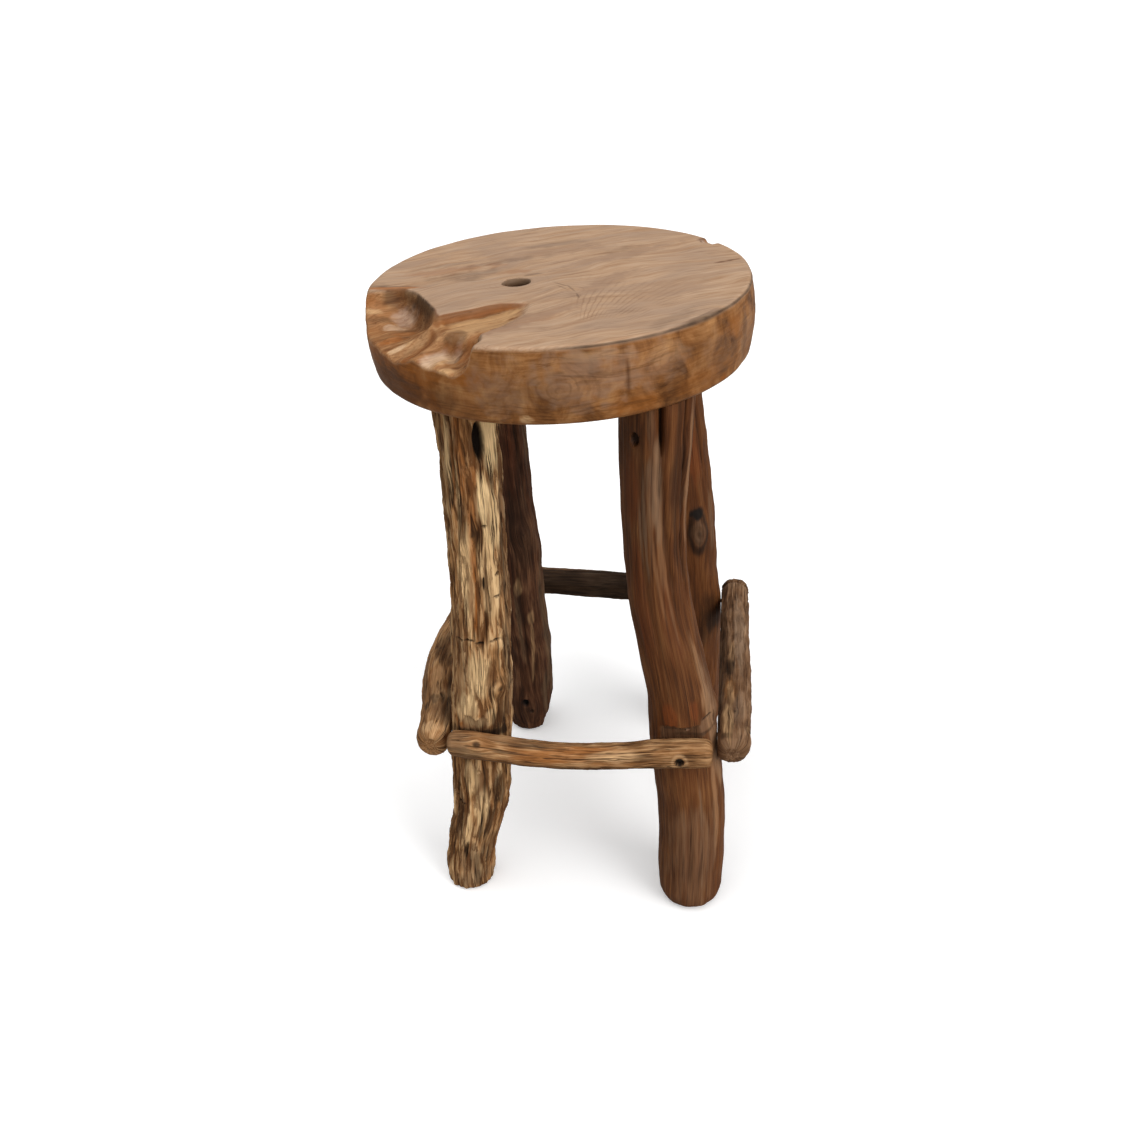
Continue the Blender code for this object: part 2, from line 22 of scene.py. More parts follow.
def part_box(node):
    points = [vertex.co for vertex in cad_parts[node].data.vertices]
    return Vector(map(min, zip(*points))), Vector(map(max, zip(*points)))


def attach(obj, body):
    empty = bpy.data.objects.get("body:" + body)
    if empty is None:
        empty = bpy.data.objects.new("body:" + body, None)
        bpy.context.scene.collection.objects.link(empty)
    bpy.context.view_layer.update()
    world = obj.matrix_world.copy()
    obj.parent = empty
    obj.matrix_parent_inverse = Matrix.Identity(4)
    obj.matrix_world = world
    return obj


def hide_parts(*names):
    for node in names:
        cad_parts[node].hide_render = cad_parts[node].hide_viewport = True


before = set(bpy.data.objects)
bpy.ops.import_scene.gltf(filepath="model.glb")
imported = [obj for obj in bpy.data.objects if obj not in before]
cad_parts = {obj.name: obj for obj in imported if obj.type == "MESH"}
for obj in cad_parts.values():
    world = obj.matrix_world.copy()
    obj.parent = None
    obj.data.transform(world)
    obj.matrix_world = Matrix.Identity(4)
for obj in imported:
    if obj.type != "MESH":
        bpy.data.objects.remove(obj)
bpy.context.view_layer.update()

log = logging.getLogger("stool")

Array = np.ndarray
Colour = tuple[float, float, float]
Socket = bpy.types.NodeSocket

BODY = "root"
UP = Vector((0, 0, 1))
WELD = 1e-6
MARGIN = 0.0002
GRAZING = 0.05
SAME_WAY = 0.999

# Numbers of the Mix node's sockets for colours
MIX_INPUTS = (0, 6, 7)
MIX_RESULT = 2


class Mark(Enum):
    """Kinds of patch that colour the wood, painted shade and highlights among them; one channel of the marks attribute
    each.
    """

    DARK = 0
    PALE = 1
    WARM = 2
    GREY = 3


def bell(away: Array) -> Array:
    """A smooth bump, 1 at its middle and 0 from 1 outwards."""
    return 0.5 + 0.5 * np.cos(np.pi * np.clip(away, 0, 1))


def ease(low: float, high: float, value: Array) -> Array:
    """A smooth step from 0 at low to 1 at high."""
    t = np.clip((value - low) / (high - low), 0, 1)
    return t * t * (3 - 2 * t)


def turn(bearings: Array, middle: Array | float) -> Array:
    """The signed turn from a middle bearing to others, in radians."""
    return (bearings - middle + np.pi) % (2 * np.pi) - np.pi


def shade(red: int, green: int, blue: int) -> Colour:
    """A linear colour from the values that a screen shows, 0 to 255."""
    values = (red / 255, green / 255, blue / 255)
    return tuple(v / 12.92 if v <= 0.04045 else ((v + 0.055) / 1.055) ** 2.4 for v in values)


class Noise:
    """Smooth repeatable noise on points, from -1 to 1."""

    def __init__(self, seed: int) -> None:
        """Shuffles the table of slopes.

        Args:
            seed: Picks the pattern.
        """
        source = np.random.default_rng(seed)
        self.order = source.permutation(256)
        slopes = source.normal(size=(256, 3))
        self.slopes = slopes / np.linalg.norm(slopes, axis=1, keepdims=True)

    def __call__(self, points: Array) -> Array:
        """The noise at each point.

        Args:
            points: Points in the last axis, one unit to a lump.

        Returns:
            One value for each point.
        """
        flat = points.reshape(-1, 3)
        base = np.floor(flat).astype(np.int64)
        part = flat - base
        fade = part**3 * (part * (part * 6 - 15) + 10)
        total = np.zeros(len(flat))
        for corner in itertools.product((0, 1), repeat=3):
            cell = (base + corner) & 255
            index = self.order[(self.order[(self.order[cell[:, 0]] + cell[:, 1]) & 255] + cell[:, 2]) & 255]
            weight = np.prod(np.where(corner, fade, 1 - fade), axis=1)
            total += weight * ((part - corner) * self.slopes[index]).sum(1)
        return np.clip(total * 1.7, -1, 1).reshape(points.shape[:-1])

    def layers(self, points: Array, count: int = 3) -> Array:
        """Noise with finer and fainter noise on top of it."""
        return sum(self(points * 2.1**k + 17.3 * k) * 0.5**k for k in range(count))

    def ridges(self, points: Array) -> Array:
        """Noise folded into crests: 1 on a crest, towards 0 between them."""
        return 1 - np.abs(self(points)) * 2.2


def show(name: str, data: bpy.types.ID) -> bpy.types.Object:
    """Puts a mesh, lamp or camera into the scene.

    Args:
        name: The object's name.
        data: What the object shows.

    Returns:
        The new object.
    """
    obj = bpy.data.objects.new(name, data)
    bpy.context.scene.collection.objects.link(obj)
    return obj


def to_mesh(name: str, bm: bmesh.types.BMesh) -> bpy.types.Mesh:
    """Turns a bmesh into a mesh, and frees it.

    Args:
        name: The mesh's name.
        bm: The finished bmesh.

    Returns:
        The new mesh.
    """
    mesh = bpy.data.meshes.new(name)
    bm.to_mesh(mesh)
    bm.free()
    return mesh


def wrap_skin(name: str, points: Array, layers: dict[str, Array]) -> bpy.types.Object:
    """Wraps a grid round a piece, closes its seam and poles, and stores its attributes.

    Args:
        name: The object's name.
        points: Places of the grid's points, by row, side and axis.
        layers: Attributes by name, by row and side, of 1, 3 or 4 values.

    Returns:
        The new object, linked to the scene.
    """
    rows, sides = points.shape[:2]
    flat = points.reshape(-1, 3)
    bm = bmesh.new()
    bmesh.ops.create_grid(bm, x_segments=sides, y_segments=rows - 1, size=1)
    key = bm.verts.layers.int.new("place")
    for vert in bm.verts:
        side = round((vert.co.x + 1) / 2 * sides) % sides
        row = round((vert.co.y + 1) / 2 * (rows - 1))
        vert[key] = row * sides + side
        vert.co = flat[vert[key]]
    bmesh.ops.remove_doubles(bm, verts=bm.verts, dist=WELD)
    bmesh.ops.recalc_face_normals(bm, faces=bm.faces)
    mesh = to_mesh(name, bm)
    order = np.empty(len(mesh.vertices), np.int32)
    mesh.attributes["place"].data.foreach_get("value", order)
    mesh.attributes.remove(mesh.attributes["place"])
    for layer, values in layers.items():
        store(mesh, layer, values.reshape(rows * sides, -1)[order])
    return show(name, mesh)


def store(mesh: bpy.types.Mesh, name: str, values: Array) -> None:
    """Stores an attribute with one row of values for each vertex.

    Args:
        mesh: The mesh to store it on.
        name: The attribute's name.
        values: Rows of 1, 3 or 4 values.
    """
    kind, prop = {1: ("FLOAT", "value"), 3: ("FLOAT_VECTOR", "vector"), 4: ("FLOAT_COLOR", "color")}[values.shape[1]]
    attribute = mesh.attributes.new(name, kind, "POINT")
    attribute.data.foreach_set(prop, np.ascontiguousarray(values, np.float32).ravel())


def smooth_shading(mesh: bpy.types.Mesh, angle: float) -> None:
    """Shades a mesh smooth, with edges sharper than an angle kept crisp."""
    mesh.shade_smooth()
    mesh.set_sharp_from_angle(angle=math.radians(angle))


def finish_piece(obj: bpy.types.Object, node: str, material: bpy.types.Material) -> None:
    """Dresses a skin, and lets it stand for its CAD node on the stool's body.

    Args:
        obj: The skin.
        node: The CAD node that it replaces.
        material: The skin's material.
    """
    obj.data.materials.clear()
    obj.data.materials.append(material)
    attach(obj, BODY)
    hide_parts(node)
    log.info("%s: %d faces", obj.name, len(obj.data.polygons))


# Materials


class Graph:
    """Adds and joins shader nodes in a tree."""

    def __init__(self, tree: bpy.types.NodeTree) -> None:
        """Works on a tree of nodes."""
        self.tree = tree

    def add(self, kind: str, inputs: dict[str | int, object] | None = None, **settings: object) -> bpy.types.Node:
        """Adds a node.

        Args:
            kind: The node's type.
            inputs: Sockets to join, or values to set, by input name or number.
            settings: Properties of the node.

        Returns:
            The new node.
        """
        node = self.tree.nodes.new(kind)
        for name, value in settings.items():
            setattr(node, name, value)
        for name, value in (inputs or {}).items():
            self.feed(node.inputs[name], value)
        return node

    def feed(self, socket: Socket, value: object) -> None:
        """Joins a socket to an input, or sets the input's value.

        Args:
            socket: The input.
            value: The socket to join to it, or its value.
        """
        if isinstance(value, bpy.types.NodeSocket):
            self.tree.links.new(value, socket)
        else:
            socket.default_value = value

    def math(self, operation: str, one: object, other: object = 0.0) -> Socket:
        """The result of a sum on one or two values."""
        return self.add("ShaderNodeMath", {0: one, 1: other}, operation=operation).outputs[0]

    def times(self, one: object, other: object) -> Socket:
        """The product of two values."""
        return self.math("MULTIPLY", one, other)

    def total(self, *parts: tuple[object, object]) -> Socket:
        """The sum of some values, each times its share."""
        return functools.reduce(functools.partial(self.math, "ADD"), [self.times(*part) for part in parts])

    def span(self, value: object, low: float, high: float, to_low: float = 0.0, to_high: float = 1.0) -> Socket:
        """A value moved from one range to another, and held inside it."""
        inputs = {"Value": value, "From Min": low, "From Max": high, "To Min": to_low, "To Max": to_high}
        return self.add("ShaderNodeMapRange", inputs).outputs[0]

    def mix(self, share: object, one: object, other: object) -> Socket:
        """Mixes two colours.

        Args:
            share: How much of the other colour shows.
            one: The first colour.
            other: The other colour.

        Returns:
            The mixed colour.
        """
        node = self.add("ShaderNodeMix", data_type="RGBA", clamp_factor=True)
        for number, value in zip(MIX_INPUTS, (share, one, other)):
            self.feed(node.inputs[number], (*value, 1) if isinstance(value, tuple) else value)
        return node.outputs[MIX_RESULT]

    def ramp(self, value: object, stops: list[tuple[float, Colour]]) -> Socket:
        """A colour that follows a value through a few stops.

        Args:
            value: The value to follow.
            stops: The colour at each of some values.

        Returns:
            The colour.
        """
        node = self.add("ShaderNodeValToRGB", {0: value})
        elements = node.color_ramp.elements
        while len(elements) < len(stops):
            elements.new(0.5)
        for element, (place, colour) in zip(elements, stops):
            element.position = place
            element.color = (*colour, 1)
        return node.outputs[0]

    def stretch(self, vector: Socket, scale: object) -> Socket:
        """A vector multiplied axis by axis."""
        return self.add("ShaderNodeVectorMath", {0: vector, 1: scale}, operation="MULTIPLY").outputs[0]

    def noise(self, vector: Socket, scale: float, detail: float, distortion: float = 0.0, rough: float = 0.5) -> Socket:
        """Soft noise at a place."""
        inputs = {"Vector": vector, "Scale": scale, "Detail": detail, "Roughness": rough, "Distortion": distortion}
        return self.add("ShaderNodeTexNoise", inputs).outputs[0]

    def attribute(self, name: str, output: str = "Vector") -> Socket:
        """An output of one of the mesh's attributes."""
        return self.add("ShaderNodeAttribute", attribute_name=name).outputs[output]

    def marks(self) -> dict[Mark, Socket]:
        """Reads the painted marks.

        Returns:
            The strength of each kind of mark.
        """
        node = self.add("ShaderNodeAttribute", attribute_name="marks")
        split = self.add("ShaderNodeSeparateColor", {0: node.outputs["Color"]})
        return dict(zip(Mark, (*split.outputs, node.outputs["Alpha"])))

    def grain(self, place: Socket, width: float, length: float) -> bpy.types.Node:
        """Long grain with streaks of some width and length."""
        inputs = {"Place": place, "Width": width, "Length": length}
        return self.add("ShaderNodeGroup", inputs, node_tree=GROUPS.long_grain())

    def bump(self, shader: bpy.types.Node, height: Socket, strength: float, distance: float) -> None:
        """Roughens a shader's surface by a height."""
        inputs = {"Strength": strength, "Distance": distance, "Height": height}
        self.feed(shader.inputs["Normal"], self.add("ShaderNodeBump", inputs).outputs[0])


def start_material(name: str) -> tuple[bpy.types.Material, bpy.types.Node, Graph]:
    """Starts a material.

    Args:
        name: The material's name.

    Returns:
        The material, its shader and the graph to build in.
    """
    material = bpy.data.materials.new(name)
    material.use_nodes = True
    return material, material.node_tree.nodes["Principled BSDF"], Graph(material.node_tree)


class SharedGroups:
    """Node groups that several finishes use, each built once."""

    @staticmethod
    def start(name: str, inputs: list[str], outputs: list[str]) -> tuple[Graph, bpy.types.Node, bpy.types.Node]:
        """Starts a group.

        Args:
            name: The group's name.
            inputs: Names of the inputs. Place is a vector, and the others are plain values.
            outputs: Names of the outputs, all plain values.

        Returns:
            The graph to build in, and its input and output nodes.
        """
        tree = bpy.data.node_groups.new(name, "ShaderNodeTree")
        for label in inputs:
            kind = "NodeSocketVector" if label == "Place" else "NodeSocketFloat"
            tree.interface.new_socket(label, in_out="INPUT", socket_type=kind)
        for label in outputs:
            tree.interface.new_socket(label, in_out="OUTPUT", socket_type="NodeSocketFloat")
        graph = Graph(tree)
        return graph, graph.add("NodeGroupInput"), graph.add("NodeGroupOutput")

    @functools.cache
    def long_grain(self) -> bpy.types.NodeTree:
        """Streaks, fibres, patches, cracks and flakes that run along the grain.

        Returns:
            The group.
        """
        graph, given, put = self.start(
            "long_grain", ["Place", "Width", "Length"], ["Streaks", "Fibres", "Patches", "Cracks", "Flakes"],
        )
        across, along = (graph.math("DIVIDE", 1.0, given.outputs[label]) for label in ("Width", "Length"))
        scale = graph.add("ShaderNodeCombineXYZ", {0: across, 1: across, 2: along}).outputs[0]
        place = graph.stretch(given.outputs["Place"], scale)
        streaks = graph.span(graph.noise(place, 1.0, 3.0, 0.6), 0.28, 0.72)
        fibres = graph.span(graph.noise(graph.stretch(place, (3.6, 3.6, 2.2)), 1.0, 2.0, 0.3), 0.32, 0.68)
        patches = graph.span(graph.noise(graph.stretch(place, (0.28, 0.28, 0.5)), 1.0, 2.0, 0.4), 0.35, 0.65)
        lines = graph.noise(graph.stretch(place, (1.5, 1.5, 0.8)), 1.0, 2.0, 0.5)
        lines = graph.span(graph.math("ABSOLUTE", graph.math("SUBTRACT", lines, 0.5)), 0.012, 0.055, 1.0, 0.0)
        broken = graph.span(graph.noise(graph.stretch(place, (0.9, 0.9, 1.6)), 1.0, 1.0), 0.46, 0.60)
        cracks = graph.times(lines, broken)
        flakes = graph.span(graph.noise(graph.stretch(place, (0.85, 0.85, 2.0)), 1.0, 6.0, 0.5, 0.62), 0.50, 0.545)
        for socket, value in zip(put.inputs, (streaks, fibres, patches, cracks, flakes)):
            graph.feed(socket, value)
        return graph.tree

    @functools.cache
    def ring_lines(self) -> bpy.types.NodeTree:
        """Fine dark lines at even steps of a distance, broken here and there.

        Returns:
            The group.
        """
        graph, given, put = self.start("ring_lines", ["Place", "Distance", "Step", "Wander"], ["Lines"])
        wander = graph.noise(given.outputs["Place"], 60.0, 2.0)
        steps = graph.math("DIVIDE", given.outputs["Distance"], given.outputs["Step"])
        phase = graph.math("ADD", steps, graph.times(wander, given.outputs["Wander"]))
        wave = graph.math("SINE", graph.times(phase, 2 * math.pi))
        broken = graph.span(graph.noise(given.outputs["Place"], 40.0, 1.0), 0.34, 0.56)
        graph.feed(put.inputs["Lines"], graph.times(graph.span(wave, 0.15, 1.0), broken))
        return graph.tree


GROUPS = SharedGroups()


@dataclass(frozen=True)
class BranchFinish:
    """Colours and sheen of a branch: a run of tones, and what the marks mix in."""

    name: str
    deep: Colour
    base: Colour
    light: Colour
    patch: Colour
    pale: Colour
    warm: Colour
    grey: Colour
    dark: Colour
    streak_width: float = 0.006
    streak_length: float = 0.09
    contrast: float = 1.0
    relief_share: float = 0.5
    patch_share: float = 0.5
    crack_share: float = 0.5
    flake_share: float = 0.0
    roughness: float = 0.6
    specular: float = 0.2
    bump: float = 0.5

    @functools.cache
    def material(self) -> bpy.types.Material:
        """The finish as a material, made once.

        Returns:
            The material.
        """
        material, shader, graph = start_material(self.name)
        relief, marks = graph.attribute("relief", "Fac"), graph.marks()
        grain = graph.grain(graph.attribute("grain"), self.streak_width, self.streak_length).outputs
        streaks, fibres = grain["Streaks"], grain["Fibres"]

        plain = 1 - self.relief_share
        tone = graph.total((relief, self.relief_share), (streaks, 0.55 * plain), (fibres, 0.45 * plain))
        spread = 0.5 / self.contrast
        tone = graph.span(tone, 0.5 - spread, 0.5 + spread)
        colour = graph.ramp(tone, [(0.0, self.deep), (0.45, self.base), (1.0, self.light)])
        patch = graph.times(grain["Patches"], self.patch_share)
        colour = graph.mix(patch, colour, graph.mix(0.55, colour, self.patch))
        for kind, tint in ((Mark.WARM, self.warm), (Mark.PALE, self.pale)):
            frayed = graph.times(marks[kind], graph.span(tone, -0.8, 0.4))
            colour = graph.mix(frayed, colour, graph.mix(graph.span(fibres, 0.0, 1.0, 0.32, 0.0), tint, self.patch))
        frayed = graph.times(marks[Mark.GREY], graph.span(streaks, -0.4, 0.7))
        colour = graph.mix(frayed, colour, self.grey)
        flakes = graph.span(marks[Mark.PALE], 0.0, 1.0, self.flake_share, 0.2 * self.flake_share)
        flakes = graph.times(grain["Flakes"], flakes)
        colour = graph.mix(flakes, colour, graph.mix(0.5, self.patch, self.deep))
        cracks = graph.times(grain["Cracks"], self.crack_share)
        colour = graph.mix(cracks, colour, self.deep)
        colour = graph.mix(marks[Mark.DARK], colour, self.dark)
        graph.feed(shader.inputs["Base Color"], colour)

        gloss = graph.span(tone, 0.0, 1.0, self.roughness + 0.12, self.roughness - 0.10)
        graph.feed(shader.inputs["Roughness"], gloss)
        shader.inputs["Specular IOR Level"].default_value = self.specular
        height = graph.total((fibres, 0.6), (streaks, 0.4))
        height = graph.math("SUBTRACT", height, graph.math("ADD", cracks, flakes))
        graph.bump(shader, height, self.bump, 0.0008)
        return material


PALE_BARK = BranchFinish(
    name="pale_bark",
    deep=shade(46, 28, 15), base=shade(164, 120, 77), light=shade(236, 198, 148), patch=shade(112, 68, 34),
    pale=shade(254, 220, 166), warm=shade(154, 92, 42), grey=shade(120, 96, 72), dark=shade(24, 16, 10),
    streak_width=0.0050, streak_length=0.085, contrast=1.6, relief_share=0.45, patch_share=0.75, crack_share=0.95,
    flake_share=0.78, roughness=0.78, specular=0.10, bump=0.8,
)
RED_HEARTWOOD = BranchFinish(
    name="red_heartwood",
    deep=shade(42, 22, 9), base=shade(89, 50, 21), light=shade(130, 86, 48), patch=shade(100, 52, 18),
    pale=shade(176, 134, 96), warm=shade(120, 60, 24), grey=shade(128, 100, 76), dark=shade(16, 9, 5),
    streak_width=0.0030, streak_length=0.10, contrast=1.05, relief_share=0.25, patch_share=0.4, crack_share=0.45,
    roughness=0.58, specular=0.18, bump=0.4,
)
DARK_HEARTWOOD = BranchFinish(
    name="dark_heartwood",
    deep=shade(30, 16, 9), base=shade(77, 47, 29), light=shade(130, 92, 64), patch=shade(74, 40, 22),
    pale=shade(166, 130, 92), warm=shade(96, 48, 24), grey=shade(112, 90, 66), dark=shade(12, 8, 5),
    streak_width=0.0042, streak_length=0.08, contrast=1.4, relief_share=0.4, patch_share=0.5, crack_share=0.6,
    flake_share=0.25,
    roughness=0.66, specular=0.16, bump=0.5,
)
GOLDEN_BRANCH = BranchFinish(
    name="golden_branch",
    deep=shade(50, 31, 15), base=shade(145, 104, 66), light=shade(212, 169, 121), patch=shade(146, 93, 46),
    pale=shade(226, 186, 138), warm=shade(172, 102, 42), grey=shade(118, 94, 70), dark=shade(30, 19, 12),
    streak_width=0.0025, streak_length=0.045, contrast=1.55, relief_share=0.35, patch_share=0.6, crack_share=0.95,
    flake_share=0.2,
    roughness=0.66, specular=0.15, bump=0.6,
)
GREY_BRANCH = BranchFinish(
    name="grey_branch",
    deep=shade(38, 24, 14), base=shade(120, 87, 60), light=shade(176, 142, 110), patch=shade(98, 64, 38),
    pale=shade(200, 160, 116), warm=shade(152, 100, 50), grey=shade(142, 118, 96), dark=shade(22, 13, 6),
    streak_width=0.0032, streak_length=0.06, contrast=1.25, relief_share=0.4, patch_share=0.7, crack_share=0.7,
    flake_share=0.3,
    roughness=0.70, specular=0.15, bump=0.6,
)


@dataclass(frozen=True)
class SlabFinish:
    """The oiled slab: a sanded tan top, a darker varnished edge and richer hollows."""

    name: str = "slab_wood"
    top_deep: Colour = shade(150, 112, 82)
    top: Colour = shade(175, 141, 111)
    top_light: Colour = shade(193, 163, 136)
    top_grey: Colour = shade(158, 132, 112)
    hollow_deep: Colour = shade(98, 60, 32)
    hollow: Colour = shade(142, 97, 60)
    hollow_light: Colour = shade(176, 132, 88)
    edge_deep: Colour = shade(72, 42, 18)
    edge: Colour = shade(131, 85, 46)
    edge_light: Colour = shade(170, 123, 78)
    pale: Colour = shade(208, 168, 122)
    warm: Colour = shade(146, 86, 38)
    amber: Colour = shade(140, 80, 24)
    grey: Colour = shade(148, 118, 96)
    # The tint of the grey marks in the hollows: painted sheen and glints
    hollow_sheen: Colour = shade(206, 182, 164)
    dark: Colour = shade(34, 20, 12)
    line: Colour = shade(116, 82, 58)
    top_grain: tuple[float, float] = (0.0045, 0.055)
    edge_grain: tuple[float, float] = (0.0080, 0.080)
    top_shares: tuple[float, float] = (0.60, 0.36)
    edge_shares: tuple[float, float] = (0.5, 0.5)
    ring_step: float = 0.0052
    roughness: float = 0.46
    specular: float = 0.10
    bump: float = 0.22

    @staticmethod
    def figure(
        graph: Graph, attribute: str, sizes: tuple[float, float], shares: tuple[float, float],
    ) -> tuple[Socket, bpy.types.Node, Socket]:
        """The long grain on some faces of the slab.

        Args:
            graph: The material's graph.
            attribute: The attribute that lays out the grain.
            sizes: Width and length of the streaks.
            shares: How much the streaks and the fibres show.

        Returns:
            The place in the grain, the grain's node and its tone.
        """
        place = graph.attribute(attribute)
        grain = graph.grain(place, *sizes)
        tone = graph.total((grain.outputs["Streaks"], shares[0]), (grain.outputs["Fibres"], shares[1]))
        return place, grain, graph.math("ADD", tone, (1 - sum(shares)) / 2)

    @functools.cache
    def material(self) -> bpy.types.Material:
        """The finish as a material.

        Returns:
            The material.
        """
        material, shader, graph = start_material(self.name)
        edge, marks = graph.attribute("edge", "Fac"), graph.marks()
        distance, drawn, worn = graph.add("ShaderNodeSeparateXYZ", {0: graph.attribute("rings")}).outputs
        spot = graph.add("ShaderNodeTexCoord").outputs["Object"]
        wander = graph.span(edge, 0.0, 1.0, 0.7, 1.7)
        inputs = {"Place": spot, "Distance": distance, "Step": self.ring_step, "Wander": wander}
        lines = graph.add("ShaderNodeGroup", inputs, node_tree=GROUPS.ring_lines()).outputs[0]
        flat, over, tone = self.figure(graph, "grain", self.top_grain, self.top_shares)
        _, round_side, side_tone = self.figure(graph, "side_grain", self.edge_grain, self.edge_shares)
        calm = graph.times(drawn, 0.7)
        tone = graph.math("SUBTRACT", tone, graph.times(calm, graph.math("SUBTRACT", tone, 0.5)))

        top = graph.ramp(tone, [(0.0, self.top_deep), (0.42, self.top), (1.0, self.top_light)])
        mist = graph.span(graph.noise(graph.stretch(flat, (34.0, 34.0, 9.0)), 1.0, 3.0, 1.0), 0.42, 0.66)
        top = graph.mix(graph.times(mist, 0.6), top, self.top_grey)
        carved = graph.ramp(tone, [(0.0, self.hollow_deep), (0.45, self.hollow), (1.0, self.hollow_light)])
        top = graph.mix(worn, top, carved)
        cloud = graph.span(graph.noise(graph.stretch(spot, (1.2, 1.2, 1.0)), 26.0, 6.0, 0.9, 0.64), 0.32, 0.67)
        blotch = graph.total((cloud, 0.68), (side_tone, 0.32))
        side = graph.ramp(blotch, [(0.08, self.edge_deep), (0.5, self.edge), (0.95, self.edge_light)])
        colour = graph.mix(edge, top, side)
        for kind, tint in ((Mark.WARM, graph.mix(edge, self.warm, self.amber)), (Mark.PALE, self.pale)):
            frayed = graph.times(marks[kind], graph.span(tone, -0.6, 0.7))
            colour = graph.mix(frayed, colour, tint)
        # Grey marks; in the hollows they are painted sheen and glints
        frayed = graph.times(marks[Mark.GREY], graph.span(over.outputs["Streaks"], -0.4, 0.8))
        colour = graph.mix(frayed, colour, graph.mix(worn, self.grey, self.hollow_sheen))
        rings = graph.times(lines, drawn)
        colour = graph.mix(graph.times(rings, 0.55), colour, graph.mix(edge, self.line, self.edge_deep))
        for grain, on_top, on_edge in ((over, 0.25, 0.0), (round_side, 0.0, 0.35)):
            share = graph.span(edge, 0.0, 1.0, on_top, on_edge)
            colour = graph.mix(graph.times(grain.outputs["Cracks"], share), colour, self.edge_deep)
        colour = graph.mix(marks[Mark.DARK], colour, self.dark)
        graph.feed(shader.inputs["Base Color"], colour)

        gloss = graph.span(tone, 0.0, 1.0, self.roughness + 0.10, self.roughness - 0.06)
        graph.feed(shader.inputs["Roughness"], gloss)
        shader.inputs["Specular IOR Level"].default_value = self.specular
        height = graph.math("SUBTRACT", graph.times(over.outputs["Fibres"], 0.5), rings)
        graph.bump(shader, height, self.bump, 0.0006)
        return material


@dataclass(frozen=True)
class FastenerFinish:
    """Dark steel or plain dowel wood, for the pieces that keep their CAD shape."""

    name: str
    dull: Colour
    bright: Colour
    metallic: float
    roughness: float
    scale: tuple[float, float, float]

    @functools.cache
    def material(self) -> bpy.types.Material:
        """The finish as a material.

        Returns:
            The material.
        """
        material, shader, graph = start_material(self.name)
        place = graph.add("ShaderNodeTexCoord").outputs["Object"]
        daubs = graph.noise(graph.stretch(place, self.scale), 1.0, 4.0, 0.4)
        graph.feed(shader.inputs["Base Color"], graph.ramp(daubs, [(0.3, self.dull), (0.7, self.bright)]))
        rough = graph.span(daubs, 0.3, 0.7, self.roughness + 0.15, self.roughness - 0.1)
        graph.feed(shader.inputs["Roughness"], rough)
        shader.inputs["Metallic"].default_value = self.metallic
        graph.bump(shader, daubs, 0.3, 0.0003)
        return material


DARK_STEEL = FastenerFinish("dark_steel", shade(34, 28, 24), shade(82, 72, 62), 0.85, 0.5, (700.0, 700.0, 700.0))
DOWEL_WOOD = FastenerFinish("dowel_wood", shade(150, 112, 72), shade(206, 170, 122), 0.0, 0.6, (420.0, 420.0, 30.0))


# Branches


@dataclass(frozen=True)
class Patch:
    """A patch of colour on a branch, long along the grain, with frayed edges."""

    kind: Mark
    bearing: float
    place: float
    half_width: float
    half_length: float
    strength: float = 0.9
    lean: float = 0.0

    @classmethod
    def rows(cls, kind: Mark, *sizes: tuple[float, ...]) -> tuple["Patch", ...]:
        """Patches of one kind, from rows of their other fields."""
        return tuple(cls(kind, *row) for row in sizes)


@dataclass(frozen=True)
class Knot:
    """A swelling where a twig grew, with rings on it and the grain flowing round it."""

    bearing: float
    place: float
    half_width: float
    half_length: float
    height: float
    rings: float = 2.5
    dark: float = 0.5
    halo: float = 0.0


@dataclass(frozen=True)
class Cleft:
    """A groove along a branch through a few (bearing, place) points, darkened inside with painted shade."""

    points: tuple[tuple[float, float], ...]
    half_width: float
    depth: float
    # How much painted shade darkens the groove
    dark: float = 0.8


@dataclass(frozen=True)
class Pit:
    """A hollow or check cut into a branch, shaped like a seed and darkened inside with painted shade."""

    bearing: float
    place: float
    half_width: float
    half_length: float
    depth: float
    # How much painted shade darkens the inside
    dark: float = 1.0


@dataclass(frozen=True)
class Roughness:
    """Sizes of a branch's relief: how deep, wide and long its ridges, fibres and flakes are."""

    ridge: tuple[float, float, float]
    fibre: tuple[float, float, float]
    flake: tuple[float, float, float] = (0.0, 0.012, 0.03)
    lump: tuple[float, float] = (0.0006, 0.03)


@dataclass(frozen=True)
class Housing:
    """A flat that is cut into a leg for a rail, or along a rail's inner side."""

    outward: Vector
    upward: Vector
    floor: float
    low: float
    high: float
    ragged: float = 0.0


# How branches are measured, in metres and degrees
LEVEL_STEP = 0.004
LEVEL_GAP = 0.003
LEVEL_BLUR = 0.022
END_LEVELS = 14
CENTRE_BAND = 0.03
RAY_STEP = 5
RAY_BLUR = 13
RAY_REACH = 0.075
CUT_DEPTH = 0.0009
HOUSING_GAP = 0.001
LEAN_LENGTH = 0.1


class NodeShape:
    """A CAD node's surface, to measure with rays."""

    def __init__(self, node: str) -> None:
        """Reads the node's mesh.

        Args:
            node: The CAD node's name.
        """
        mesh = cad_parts[node].data
        self.points = np.array([v.co for v in mesh.vertices])
        self.faces = [tuple(p.vertices) for p in mesh.polygons]
        self.normals = np.array([p.normal for p in mesh.polygons])
        self.areas = np.array([p.area for p in mesh.polygons])
        self.centres = np.array([p.center for p in mesh.polygons])
        self.tree = BVHTree.FromPolygons([Vector(p) for p in self.points], self.faces)

    def reach(self, middle: Vector, direction: Vector, limit: float) -> float:
        """How far the outer surface lies from a middle, or nan where there is none."""
        hit = self.tree.ray_cast(middle + direction * limit, -direction, limit)
        return limit - hit[3] if hit[0] else math.nan

    def drop(self, x: float, y: float, top: float) -> float:
        """Height of the surface under a place, from above."""
        hit = self.tree.ray_cast(Vector((x, y, top + 0.01)), -UP, 1.0)
        return hit[0].z if hit[0] else math.nan


